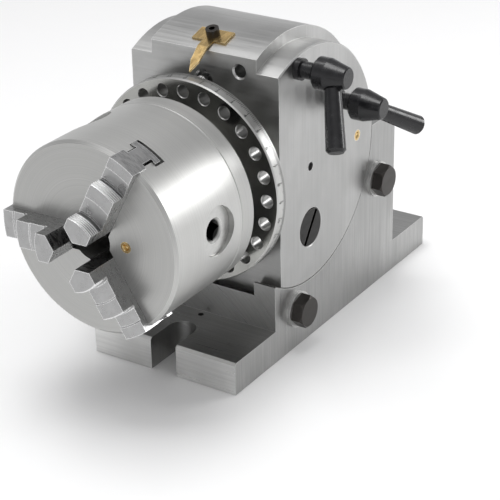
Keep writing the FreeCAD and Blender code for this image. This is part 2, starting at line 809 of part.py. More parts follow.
def handle_bar(radius, start, end, y, z, angle, end_radius=None):
    direction = handle_direction(angle)
    origin = Vector(handle_root_x, y, z) + direction * start
    if end_radius is None:
        return Part.makeCylinder(radius, end - start, origin, direction)
    return Part.makeCone(radius, end_radius, end - start, origin, direction)


def make_lever_hub(y, z, angle):
    profile = [(lever_hub_start_x, lever_neck_radius + running_fit),
               (lever_hub_start_x, lever_hub_radius - 1.4),
               (lever_hub_start_x + 1.4, lever_hub_radius), (lever_hub_cone_x, lever_hub_radius),
               (lever_hub_end_x - 0.6, lever_hub_end_radius),
               (lever_hub_end_x, lever_hub_end_radius - 0.6),
               (lever_hub_end_x, 0), (lever_hub_end_x - 3.0, 0),
               (lever_hub_end_x - 3.0, lever_neck_radius + running_fit)]
    hub = turned_x(profile, y, z)
    hub = hub.cut(handle_bar(handle_shank_radius + running_fit, 0, lever_hub_radius + 4, y, z, angle))
    return hub.cut(handle_bar(handle_root_radius + 0.2, lever_hub_radius - 1.0, handle_length, y, z,
                              angle))


def make_handle(y, z, angle):
    start = lever_hub_radius - 1.0
    shank = handle_bar(handle_shank_radius, handle_shank_start, start + over_cut, y, z, angle)
    bar = handle_bar(handle_root_radius, start, handle_length - 1.5, y, z, angle, handle_end_radius)
    cap = handle_bar(handle_end_radius, handle_length - 1.5, handle_length, y, z, angle,
                     handle_end_radius - 1.3)
    return joined([shank, bar, cap])


# Spindle and worm gear
def make_spindle():
    taper_end_y = nose_end_y + taper_length
    taper_end_radius = taper_mouth_radius - taper_length / 40
    profile = [(taper_mouth_radius, nose_end_y), (nose_radius - 1.0, nose_end_y),
               (nose_radius, nose_end_y + 1.0),
               (nose_radius, shoulder_y), (shoulder_radius, shoulder_y), (shoulder_radius, plate_back_y),
               (spindle_flange_radius, plate_back_y), (spindle_flange_radius, spindle_flange_back_y),
               (front_journal_radius, spindle_flange_back_y), (front_journal_radius, front_journal_end_y),
               (wheel_seat_radius, front_journal_end_y), (wheel_seat_radius, wheel_hub_back_y),
               (rear_shank_radius, wheel_hub_back_y), (rear_shank_radius, rear_bush_y - 2 * seat_gap),
               (rear_journal_radius, rear_bush_y - 2 * seat_gap), (rear_journal_radius, rear_flat_y),
               (rear_thread_radius, rear_flat_y), (rear_thread_radius, spindle_end_y - 0.8),
               (rear_thread_radius - 0.8, spindle_end_y), (spindle_bore_radius, spindle_end_y),
               (spindle_bore_radius, taper_end_y), (taper_end_radius, taper_end_y)]
    body = turned_y(profile)
    body = body.cut(key_block(wheel_seat_radius - wheel_key_height / 2))
    return cut_all(body, ring_about_spindle(index_screw_blank(seat_gap), 3, 60))


def key_block(bottom_radius):
    half = wheel_key_width / 2
    return box(-half, half, wheel_hub_front_y + 1, wheel_hub_back_y + over_cut,
               centre_height + bottom_radius, centre_height + bottom_radius + wheel_key_height)


def make_wheel_key():
    return key_block(wheel_seat_radius - wheel_key_height / 2).common(
        rod_y(wheel_chamber_radius, wheel_hub_front_y, wheel_hub_back_y))


def make_worm_wheel():
    dedendum = 1.16 * gear_module
    outline = tooth_outline(wheel_teeth, wheel_radius, tooth_half_width, gear_module, dedendum)
    lead_angle = math.atan(worm_lead / (2 * math.pi * worm_pitch_radius))
    sections = []
    for y in (-wheel_face_width / 2, wheel_face_width / 2):
        twist = math.tan(lead_angle) * y / wheel_radius
        corners = []
        for angle, radius in outline:
            place = angle + math.pi + twist
            corners.append(Vector(radius * math.sin(place), y, centre_height + radius * math.cos(place)))
        sections.append(Part.makePolygon(corners + [corners[0]]))
    rim = Part.makeLoft(sections, True, True)
    hub = rod_y(wheel_hub_radius, wheel_hub_front_y, wheel_hub_back_y)
    wheel = joined([rim, hub]).cut(rod_y(wheel_seat_radius, -wheel_chamber_radius, wheel_chamber_radius))
    return wheel.cut(key_block(wheel_seat_radius - wheel_key_height / 2))


def make_wheel_nut():
    nut = turned_y([(rear_shank_radius, wheel_nut_y), (wheel_nut_radius, wheel_nut_y),
                    (wheel_nut_radius, wheel_nut_y + wheel_nut_thickness),
                    (rear_shank_radius, wheel_nut_y + wheel_nut_thickness)])
    half = wheel_nut_notch / 2
    notch = box(-half, half, wheel_nut_y - over_cut, wheel_nut_y + wheel_nut_thickness + over_cut,
                centre_height + wheel_nut_radius - half, centre_height + wheel_nut_radius + over_cut)
    return cut_all(nut, ring_about_spindle(notch, 4))


def make_rear_nut():
    nut = turned_y([(rear_thread_radius, rear_nut_y), (rear_nut_radius, rear_nut_y),
                    (rear_nut_radius, rear_nut_y + rear_nut_thickness - 1),
                    (rear_nut_radius - 1, rear_nut_y + rear_nut_thickness),
                    (rear_thread_radius, rear_nut_y + rear_nut_thickness)])
    hole = rod_y(rear_nut_pin_hole_radius, rear_nut_y + 3, rear_nut_y + rear_nut_thickness + over_cut,
                 0, centre_height + (rear_nut_radius + rear_thread_radius) / 2)
    return cut_all(nut, ring_about_spindle(hole, 4, 45))


def make_worm_shaft():
    root_radius = worm_pitch_radius - 1.2 * gear_module
    tip_radius = worm_pitch_radius + gear_module
    half_length = worm_length / 2
    left_end = crank_outer_x - crank_nut_height - 1.5
    profile = [(sleeve_end_x - 1.0, 0), (sleeve_end_x - 1.0, worm_far_journal_radius),
               (half_length + 1.5, worm_far_journal_radius), (half_length + 1.5, root_radius),
               (-half_length - 1.5, root_radius), (-half_length - 1.5, tip_radius),
               (worm_bush_end_x + 2 * seat_gap, tip_radius),
               (worm_bush_end_x + 2 * seat_gap, worm_journal_radius),
               (crank_outer_x + seat_gap, worm_journal_radius),
               (crank_outer_x + seat_gap, crank_thread_radius),
               (left_end + 0.8, crank_thread_radius), (left_end, crank_thread_radius - 0.8),
               (left_end, 0)]
    shaft = turned_x(profile, 0, worm_z)
    slope = math.tan(math.radians(pressure_angle))
    tip_half = tooth_half_width - gear_module * slope
    root_half = tooth_half_width + (worm_pitch_radius - root_radius) * slope
    turns = worm_length / worm_lead
    path = Part.makeHelix(worm_lead, turns * worm_lead, worm_pitch_radius)
    inner = root_radius - 0.3
    thread_profile = Part.makePolygon([Vector(inner, 0, -root_half), Vector(tip_radius, 0, -tip_half),
                                       Vector(tip_radius, 0, tip_half), Vector(inner, 0, root_half),
                                       Vector(inner, 0, -root_half)])
    thread = Part.Wire(path.Edges).makePipeShell([thread_profile], True, True)
    thread.rotate(Vector(0, 0, 0), Y_AXIS, 90)
    thread.translate(Vector(-half_length, 0, worm_z))
    # turned so that a gap of the thread faces the middle tooth of the wheel
    thread = about_line_x(thread, -360.0 * half_length / worm_lead, 0, worm_z)
    limit = rod_x(tip_radius + 0.01, -half_length, half_length, 0, worm_z)
    return shaft.fuse(thread.common(limit)).cut(crank_key_block())


def crank_key_block():
    half = crank_key_width / 2
    return box(crank_outer_x - over_cut, crank_inner_x - 1.0, -half, half,
               worm_z + worm_journal_radius - 2.0, worm_z + worm_journal_radius + 1.8)


def make_crank_key():
    return crank_key_block().common(box(crank_outer_x, crank_inner_x, -crank_arm_width, crank_arm_width,
                                        0, centre_height))


def make_eccentric_sleeve():
    barrel = rod_x(sleeve_radius, sleeve_face_x - over_cut, sleeve_end_x, 0, sleeve_z)
    flange = rod_x(sleeve_flange_radius, plate_inner_x, sleeve_face_x, 0, worm_z)
    spigot = rod_x(sleeve_spigot_radius, spigot_end_x, plate_inner_x + over_cut, 0, worm_z)
    body = joined([barrel, flange, spigot])
    reach = sleeve_radius + over_cut
    wedge = [Vector(-sleeve_window_half_length, 0, sleeve_z)]
    steps = 6
    for step in range(steps + 1):
        part = step / steps
        spread = sleeve_window_lead_angle + sleeve_window_trail_angle
        angle = math.radians(part * spread - sleeve_window_lead_angle)
        wedge.append(Vector(-sleeve_window_half_length, 1.5 * reach * math.sin(angle),
                            sleeve_z + 1.5 * reach * math.cos(angle)))
    window = face_of(wedge).extrude(Vector(2 * sleeve_window_half_length, 0, 0))
    notch = box(plate_inner_x - over_cut, sleeve_face_x + over_cut, -2.5, 2.5,
                worm_z + sleeve_flange_radius - 3, worm_z + sleeve_flange_radius + over_cut)
    cuts = [rod_x(sleeve_bore_radius, worm_bush_far_x, sleeve_end_x - sleeve_end_wall, 0, worm_z),
            rod_x(worm_far_journal_radius + running_fit, worm_bush_far_x, sleeve_end_x + over_cut, 0,
                  worm_z),
            rod_x(worm_journal_radius + running_fit, spigot_end_x - over_cut, worm_bush_far_x + over_cut,
                  0, worm_z),
            window] + ring_about_line_x(notch, 4, 0, worm_z, 45) + ring_about_line_x(plate_screw_blank(0),
                                                                                     3, 0, worm_z)
    for tool in cuts:
        body = body.cut(tool)
    return body.removeSplitter()


def make_worm_bush():
    bush = rod_x(sleeve_bore_radius, worm_bush_far_x + seat_gap, worm_bush_end_x, 0, worm_z)
    return bush.cut(rod_x(worm_journal_radius + running_fit, worm_bush_far_x, 0, 0, worm_z))


# Direct index plate
def index_screw_blank(extra):
    """Countersunk screw outline that holds the index plate on the spindle flange."""
    z = centre_height + index_plate_screw_circle_radius
    head = cone_y(index_plate_screw_head_radius, index_plate_screw_radius, plate_front_y + 0.01,
                  plate_front_y + 2.6, 0, z)
    shank = rod_y(index_plate_screw_radius, plate_front_y + 2.0, spindle_flange_back_y - 1.0 + extra, 0,
                  z)
    return joined([head, shank])


def make_index_plate():
    profile = [(shoulder_radius + running_fit, plate_front_y),
               (index_plate_radius - index_rim_chamfer, plate_front_y),
               (index_plate_radius, plate_front_y + index_rim_chamfer),
               (index_plate_radius, plate_back_y),
               (shoulder_radius + running_fit, plate_back_y)]
    plate = turned_y(profile)
    z = centre_height + index_hole_circle_radius
    mouth = plate_front_y + index_hole_chamfer
    hole = joined([rod_y(index_hole_radius, plate_front_y - over_cut, plate_back_y + over_cut, 0, z),
                   cone_y(index_hole_radius + index_hole_chamfer + 0.01, index_hole_radius,
                          plate_front_y - 0.01, mouth, 0, z)])
    screws = ring_about_spindle(index_screw_blank(0), 3, 60)
    return cut_all(cut_all(plate, ring_about_spindle(hole, index_hole_count)), screws)


def make_index_plate_screws():
    z = centre_height + index_plate_screw_circle_radius
    socket = hexagon_socket(3.0, 2.0, Vector(0, plate_front_y, z), Y_AXIS)
    return Part.makeCompound(ring_about_spindle(index_screw_blank(0).cut(socket), 3, 60))


# Chuck
def make_backplate():
    profile = [(nose_radius + running_fit, backplate_front_y - register_depth + seat_gap),
               (chuck_cavity_radius - running_fit, backplate_front_y - register_depth + seat_gap),
               (chuck_cavity_radius - running_fit, backplate_front_y),
               (chuck_radius - 0.4, backplate_front_y),
               (chuck_radius, backplate_front_y + 0.4), (chuck_radius, backplate_back_y - 1.0),
               (chuck_radius - 1.0, backplate_back_y), (backplate_hub_radius, backplate_back_y),
               (backplate_hub_radius, hub_back_y), (nose_radius + running_fit, hub_back_y)]
    return cut_all(turned_y(profile), ring_about_spindle(chuck_screw_blank(running_fit), jaw_count,
                                                         jaw_phase))


def chuck_screw_blank(extra):
    """Socket screw that holds the chuck body to the backplate, with its head sunk in the backplate."""
    z = centre_height + chuck_screw_circle_radius
    head_start = backplate_back_y - chuck_screw_head_height
    head_end = backplate_back_y + (over_cut if extra else -2 * seat_gap)
    head = rod_y(chuck_screw_head_radius + extra, head_start - extra, head_end, 0, z)
    shank = rod_y(chuck_screw_radius + extra, backplate_front_y - chuck_screw_grip, head_start + over_cut,
                  0, z)
    return joined([head, shank])


def make_chuck_screws():
    z = centre_height + chuck_screw_circle_radius
    socket = hexagon_socket(6.0, 4.0, Vector(0, backplate_back_y - 2 * seat_gap, z), Vector(0, -1, 0))
    return Part.makeCompound(ring_about_spindle(chuck_screw_blank(0).cut(socket), jaw_count, jaw_phase))


def jaw_section(top_depth, bottom_depth, upper_width, neck_gap, foot_gap, ledge_gap):
    """Cross-section of a jaw or of its slot, as a face across the radial direction at the chuck axis."""
    upper = upper_width / 2
    neck = jaw_neck_width / 2 + neck_gap
    foot = jaw_foot_width / 2 + foot_gap
    ledge_top = ledge_top_depth + ledge_gap
    ledge_bottom = ledge_bottom_depth - ledge_gap
    half_profile = [(upper, top_depth), (upper, ledge_top), (neck, ledge_top), (neck, ledge_bottom),
                    (foot, ledge_bottom), (foot, bottom_depth)]
    corners = [Vector(u, chuck_face_y + depth, centre_height) for u, depth in half_profile]
    corners += [Vector(-u, chuck_face_y + depth, centre_height) for u, depth in reversed(half_profile)]
    return face_of(corners)


def jaw_slot():
    section = jaw_section(-over_cut, slot_floor_depth, jaw_slot_width, jaw_neck_gap, jaw_foot_gap, seat_gap)
    return section.extrude(Vector(0, 0, chuck_radius + over_cut))


def pinion_bore():
    return Part.makeCylinder(pinion_bore_radius, chuck_radius - bevel_inner_radius,
                             Vector(0, pinion_y, centre_height + bevel_inner_radius), Z_AXIS)


def pinion_pin_blank(y_from):
    z = centre_height + pinion_groove_start + pinion_groove_width / 2
    return rod_y(pinion_pin_radius, y_from, backplate_front_y, 0, z)


def chuck_oiler_top():
    angle = math.radians(jaw_phase + 180.0 / jaw_count)
    return Vector(chuck_oiler_radius_at * math.sin(angle), chuck_face_y,
                  centre_height + chuck_oiler_radius_at * math.cos(angle))


def cover_screw_blank():
    z = centre_height + (chuck_bore_radius + chuck_hub_radius) / 2
    return rod_y(cover_screw_radius, scroll_cover_y() - cover_screw_length,
                 scroll_cover_y() + scroll_cover_thickness, 0, z)


def scroll_cover_y():
    return backplate_front_y - register_depth - scroll_cover_thickness


def make_chuck_body():
    body = turned_y([(chuck_bore_radius, chuck_face_y), (chuck_radius - chuck_edge_chamfer, chuck_face_y),
                     (chuck_radius, chuck_face_y + chuck_edge_chamfer),
                     (chuck_radius, backplate_front_y - 0.4),
                     (chuck_radius - 0.4, backplate_front_y), (chuck_cavity_radius, backplate_front_y),
                     (chuck_cavity_radius, cavity_front_y), (chuck_hub_radius, cavity_front_y),
                     (chuck_hub_radius, scroll_cover_y()), (chuck_bore_radius, scroll_cover_y())])
    half_way = jaw_phase + 180.0 / jaw_count
    groups = [ring_about_spindle(jaw_slot(), jaw_count, jaw_phase),
              ring_about_spindle(pinion_bore(), jaw_count, half_way),
              ring_about_spindle(pinion_pin_blank(pinion_y), jaw_count, half_way),
              ring_about_spindle(chuck_screw_blank(0), jaw_count, jaw_phase),
              ring_about_spindle(cover_screw_blank(), jaw_count, half_way),
              [Part.makeCylinder(oiler_radius, oiler_length, chuck_oiler_top(), Y_AXIS)]]
    for group in groups:
        body = cut_all(body, group)
    return body.removeSplitter()


def make_scroll_cover():
    cover = turned_y([(chuck_bore_radius + seat_gap, scroll_cover_y()),
                      (chuck_cavity_radius - seat_gap, scroll_cover_y()),
                      (chuck_cavity_radius - seat_gap, scroll_cover_y() + scroll_cover_thickness),
                      (chuck_bore_radius + seat_gap, scroll_cover_y() + scroll_cover_thickness)])
    return cut_all(cover, ring_about_spindle(cover_screw_blank(), jaw_count,
                                             jaw_phase + 180.0 / jaw_count))


def make_cover_screws():
    return Part.makeCompound(ring_about_spindle(cover_screw_blank(), jaw_count,
                                                jaw_phase + 180.0 / jaw_count))


def make_pinion_pins():
    start = pinion_y + pinion_groove_radius + running_fit
    return Part.makeCompound(ring_about_spindle(pinion_pin_blank(start), jaw_count,
                                                jaw_phase + 180.0 / jaw_count))


def spiral_edge(offset):
    """Archimedean spiral at the scroll's pitch, on the front face of the scroll disc."""
    points = []
    count = int(scroll_turns * 24)
    for step in range(count + 1):
        turn = 2 * math.pi * scroll_turns * step / count
        radius = scroll_start_radius + scroll_pitch * turn / (2 * math.pi) + offset
        points.append(Vector(radius * math.sin(turn), scroll_base_y,
                             centre_height + radius * math.cos(turn)))
    curve = Part.BSplineCurve()
    curve.interpolate(points)
    return curve.toShape()


def bevel_gap():
    """Tooth gap of the scroll's bevel ring, tapering to the point where the pinion axes meet."""
    step = 2 * bevel_tangent / pinion_teeth
    slope = math.tan(math.radians(pressure_angle))
    half = math.pi * step / 4 * bevel_gap_share
    deep = bevel_gap_depth * step
    high = 1.6 * step
    sections = []
    for radius in (bevel_inner_radius - 1.2, chuck_cavity_radius + over_cut):
        pitch_y = pinion_y - radius * bevel_tangent
        corners = [Vector(u * radius, pitch_y + rise * radius, centre_height + radius) for u, rise in
                   ((-half + deep * slope, -deep), (half - deep * slope, -deep),
                    (half + high * slope, high), (-half - high * slope, high))]
        sections.append(Part.makePolygon(corners + [corners[0]]))
    return Part.makeLoft(sections, True, True)


def make_scroll():
    step = 2 * bevel_tangent / pinion_teeth
    bore = chuck_hub_radius + running_fit

    def rear_y(radius):
        return pinion_y - radius * bevel_tangent + 0.8 * step * radius

    inner = bevel_inner_radius - 0.5
    disc = turned_y([(bore, scroll_base_y), (scroll_outer_radius, scroll_base_y),
                     (scroll_outer_radius, rear_y(scroll_outer_radius)), (inner, rear_y(inner)),
                     (scroll_hub_radius, rear_y(inner)), (scroll_hub_radius, pinion_y + 2.0),
                     (bore, pinion_y + 2.0)])
    disc = cut_all(disc, ring_about_spindle(bevel_gap(), scroll_bevel_teeth,
                                            jaw_phase + 180.0 / jaw_count))
    outer_edge = spiral_edge(scroll_ridge_width / 2)
    inner_edge = spiral_edge(-scroll_ridge_width / 2)
    start = Part.makeLine(inner_edge.Vertexes[0].Point, outer_edge.Vertexes[0].Point)
    end = Part.makeLine(outer_edge.Vertexes[-1].Point, inner_edge.Vertexes[-1].Point)
    outline = Part.Wire(Part.__sortEdges__([outer_edge, end, inner_edge, start]))
    ridge = Part.Face(outline).extrude(Vector(0, -scroll_ridge_height, 0))
    trim = rod_y(scroll_outer_radius, scroll_base_y - scroll_ridge_height - over_cut, scroll_base_y)
    return disc.fuse(ridge.common(trim)).removeSplitter()


def make_pinion(angle):
    step = 2 * bevel_tangent / pinion_teeth
    outline = tooth_outline(pinion_teeth, bevel_tangent, math.pi * step / 4 * bevel_tooth_share,
                            bevel_tooth_share * step, step)
    sections = []
    for radius in (bevel_inner_radius, pinion_stem_inner - 0.4):
        corners = [Vector(radius * reach * math.sin(turn), pinion_y - radius * reach * math.cos(turn),
                          centre_height + radius) for turn, reach in outline]
        sections.append(Part.makePolygon(corners + [corners[0]]))
    gear = Part.makeLoft(sections, True, True)

    def stem(radius, start, end):
        return Part.makeCylinder(radius, end - start, Vector(0, pinion_y, centre_height + start), Z_AXIS)

    groove_end = pinion_groove_start + pinion_groove_width
    body = joined([gear, stem(pinion_neck_radius, pinion_stem_inner - 1.0, pinion_stem_inner + over_cut),
                   stem(pinion_stem_radius, pinion_stem_inner, pinion_groove_start),
                   stem(pinion_groove_radius, pinion_groove_start - over_cut, groove_end + over_cut),
                   stem(pinion_stem_radius, groove_end, pinion_outer_face)])
    half = pinion_square / 2
    top = centre_height + pinion_outer_face
    socket = box(-half, half, pinion_y - half, pinion_y + half, top - pinion_square_depth, top + over_cut)
    socket.rotate(Vector(0, pinion_y, 0), Z_AXIS, 45)
    mouth = Part.makeCone(4.2, pinion_countersink_radius, 2.4, Vector(0, pinion_y, top - 2.4), Z_AXIS)
    return about_spindle(body.cut(socket).cut(mouth), angle)


def make_jaw(number):
    angle = jaw_phase + 360.0 * number / jaw_count
    section = jaw_section(-jaw_top_height, slot_floor_depth - 2 * seat_gap, jaw_width, 0, 0, -1.5 * seat_gap)
    bar = section.extrude(Vector(0, 0, jaw_end_radius + over_cut))
    top_y = chuck_face_y - jaw_top_height
    mid_y = chuck_face_y - jaw_mid_height
    low_y = chuck_face_y - jaw_low_height
    floor_y = chuck_face_y + slot_floor_depth
    mid_rib = jaw_step_in_radius + jaw_rib_inset
    low_rib = jaw_step_out_radius + jaw_rib_inset * 0.8
    steps = turned_y([(0.01, top_y), (jaw_step_in_radius, top_y),
                      (jaw_step_in_radius, mid_y + jaw_relief_depth),
                      (jaw_step_in_radius + jaw_relief_width, mid_y + jaw_relief_depth),
                      (jaw_step_in_radius + jaw_relief_width, mid_y + jaw_rib_depth),
                      (mid_rib, mid_y + jaw_rib_depth), (mid_rib + 0.5, mid_y),
                      (jaw_step_out_radius, mid_y), (jaw_step_out_radius, low_y + jaw_relief_depth),
                      (jaw_step_out_radius + jaw_relief_width, low_y + jaw_relief_depth),
                      (jaw_step_out_radius + jaw_relief_width, low_y + jaw_rib_depth),
                      (low_rib, low_y + jaw_rib_depth), (low_rib + 0.5, low_y),
                      (jaw_end_radius, low_y), (jaw_end_radius, floor_y + over_cut),
                      (0.01, floor_y + over_cut)])
    jaw = bar.common(steps)
    side = jaw_foot_width
    back = side * math.tan(math.radians(30))
    depth = floor_y - top_y + 2 * over_cut
    cuts = []
    for hand in (-1, 1):
        wedge = face_of([Vector(0, top_y - over_cut, centre_height + jaw_tip_radius),
                         Vector(hand * side, top_y - over_cut, centre_height + jaw_tip_radius + back),
                         Vector(hand * side, top_y - over_cut, centre_height - over_cut),
                         Vector(0, top_y - over_cut, centre_height - over_cut)])
        cuts.append(wedge.extrude(Vector(0, depth, 0)))
    tooth_top = scroll_base_y - seat_gap - 0.2 - jaw_tooth_depth
    ridge_at_jaw = scroll_start_radius + scroll_pitch * (angle % 360.0) / 360.0
    gap_width = scroll_pitch - jaw_tooth_width
    first_gap = math.ceil((jaw_tip_radius + 1.0 - gap_width / 2 - ridge_at_jaw) / scroll_pitch)
    middle = ridge_at_jaw + scroll_pitch * first_gap
    while middle - gap_width / 2 < jaw_end_radius:
        inner, outer = max(middle - gap_width / 2, 0.01), middle + gap_width / 2
        if outer > jaw_end_radius - jaw_tooth_width:
            outer = jaw_end_radius + over_cut
        cuts.append(turned_y([(inner, tooth_top), (outer, tooth_top),
                              (outer, floor_y + over_cut), (inner, floor_y + over_cut)]))
        middle += scroll_pitch
    for tool in cuts:
        jaw = jaw.cut(tool)
    return about_spindle(jaw.removeSplitter(), angle)


# Dividing plate, sector arms and crank
def plate_screw_blank(extra):
    z = worm_z + plate_screw_circle_radius
    head = cone_x(plate_screw_head_radius, plate_screw_radius, plate_outer_x + 0.01, plate_outer_x + 2.2,
                  0, z)
    shank = rod_x(plate_screw_radius, plate_outer_x + 1.5, sleeve_face_x - 1.0 + extra, 0, z)
    return joined([head, shank])


def make_dividing_plate():
    profile = [(plate_outer_x, sleeve_spigot_radius + running_fit),
               (plate_outer_x, dividing_plate_radius - dividing_plate_chamfer),
               (plate_outer_x + dividing_plate_chamfer, dividing_plate_radius),
               (plate_inner_x, dividing_plate_radius),
               (plate_inner_x, sleeve_spigot_radius + running_fit)]
    plate = turned_x(profile, 0, worm_z)
    holes = []
    for radius, count in zip(dividing_circle_radii, dividing_hole_counts):
        hole = rod_x(dividing_hole_radius, plate_outer_x - over_cut, plate_inner_x + over_cut, 0,
                     worm_z + radius)
        holes += ring_about_line_x(hole, count, 0, worm_z)
    return cut_all(cut_all(plate, holes), ring_about_line_x(plate_screw_blank(0), 3, 0, worm_z))


def make_plate_screws():
    z = worm_z + plate_screw_circle_radius
    slot = box(plate_outer_x - over_cut, plate_outer_x + 1.0, -0.5, 0.5, z - 5, z + 5)
    return Part.makeCompound(ring_about_line_x(plate_screw_blank(0).cut(slot), 3, 0, worm_z))


def make_sector_arm(layer, angle, hand):
    """Flat ring with one long blade; its straight working edge lies on the radius at the given angle."""
    outer = plate_outer_x - seat_gap - layer * (sector_blade_thickness + seat_gap)
    inner = outer - sector_blade_thickness
    ring = rod_x(sector_ring_radius, inner, outer, 0, worm_z)
    blade = face_of([Vector(inner, 0, worm_z), Vector(inner, 0, worm_z + sector_blade_reach),
                     Vector(inner, hand * 3.0, worm_z + sector_blade_reach),
                     Vector(inner, hand * sector_blade_width, worm_z + sector_ring_radius),
                     Vector(inner, hand * sector_blade_width,
                            worm_z)]).extrude(Vector(sector_blade_thickness, 0, 0))
    blade = about_line_x(blade, angle, 0, worm_z)
    bore = rod_x(sleeve_spigot_radius + seat_gap, inner - over_cut, outer + over_cut, 0, worm_z)
    return joined([ring, blade]).cut(bore)


def make_sector_spring():
    outer = plate_outer_x - 3 * seat_gap - 2 * sector_blade_thickness
    ring = rod_x(sector_ring_radius, outer - sector_spring_thickness, outer, 0, worm_z)
    gap = box(outer - 2 * sector_spring_thickness, outer + over_cut, -2, 2, worm_z,
              worm_z + 2 * sector_ring_radius)
    return ring.cut(rod_x(sleeve_spigot_radius, outer - 2 * sector_spring_thickness, outer + over_cut, 0,
                          worm_z)).cut(gap)


def make_crank_arm():
    half = crank_arm_width / 2
    end_z = worm_z - crank_pin_radius
    hub = rod_x(half, crank_outer_x, crank_inner_x, 0, worm_z)
    bar = box(crank_outer_x, crank_inner_x, -half, half, end_z, worm_z)
    tip = rod_x(half, crank_outer_x, crank_inner_x, 0, end_z)
    slot_half = crank_neck_radius + running_fit
    slot_top = worm_z - crank_slot_inner
    slot = joined([box(crank_outer_x - over_cut, crank_inner_x + over_cut, -slot_half, slot_half, end_z,
                       slot_top),
                   rod_x(slot_half, crank_outer_x - over_cut, crank_inner_x + over_cut, 0, end_z),
                   rod_x(slot_half, crank_outer_x - over_cut, crank_inner_x + over_cut, 0, slot_top)])
    arm = joined([hub, bar, tip]).cut(slot)
    arm = arm.cut(rod_x(worm_journal_radius + 0.02, crank_outer_x - over_cut, crank_inner_x + over_cut, 0,
                        worm_z))
    return arm.cut(crank_key_block())


def make_crank_nut():
    outer = crank_outer_x - crank_nut_height
    nut = hexagon_x(crank_nut_across_flats, outer, crank_outer_x, 0, worm_z)
    return nut.cut(rod_x(crank_thread_radius, outer - over_cut, crank_outer_x + over_cut, 0, worm_z))


def plunger_tip_x():
    return plate_outer_x - plunger_rest_gap


def make_plunger_housing():
    z = worm_z - crank_pin_radius
    outer = crank_outer_x - plunger_body_length
    inner = crank_inner_x + plunger_nut_thickness
    body = turned_x([(outer, 0), (outer, plunger_body_radius - 1), (outer + 1, plunger_body_radius),
                     (crank_outer_x, plunger_body_radius), (crank_outer_x, crank_neck_radius),
                     (inner, crank_neck_radius), (inner, 0)], 0, z)
    body = body.cut(rod_x(plunger_radius + running_fit, outer - over_cut, inner + over_cut, 0, z))
    return body.cut(rod_x(plunger_spring_radius + 0.2, outer + 2.5, inner - 2.5, 0, z))


def make_plunger_nut():
    z = worm_z - crank_pin_radius
    outer = crank_inner_x + plunger_nut_thickness
    nut = hexagon_x(plunger_nut_across_flats, crank_inner_x, outer, 0, z)
    return nut.cut(rod_x(crank_neck_radius, crank_inner_x - over_cut, outer + over_cut, 0, z))


def make_plunger():
    z = worm_z - crank_pin_radius
    tip = plunger_tip_x()
    knob_x = crank_outer_x - plunger_body_length - plunger_stroke - loose_gap
    return turned_x([(tip, 0), (tip, plunger_tip_radius - 0.4), (tip - 0.6, plunger_tip_radius),
                     (tip - 5.5, plunger_tip_radius), (tip - 6.0, plunger_radius),
                     (knob_x - knob_length + 4, plunger_radius), (knob_x - knob_length + 4, 0)], 0, z)


def make_plunger_knob():
    z = worm_z - crank_pin_radius
    knob_x = crank_outer_x - plunger_body_length - plunger_stroke - loose_gap
    end = knob_x - knob_length
    knob = turned_x([(end, 0), (end, knob_radius - 1.5), (end + 1.5, knob_radius),
                     (knob_x - 3, knob_radius),
                     (knob_x - 2, knob_radius - 2), (knob_x, knob_radius - 2), (knob_x, 0)], 0, z)
    return knob.cut(rod_x(plunger_radius, end + 4, knob_x + over_cut, 0, z))


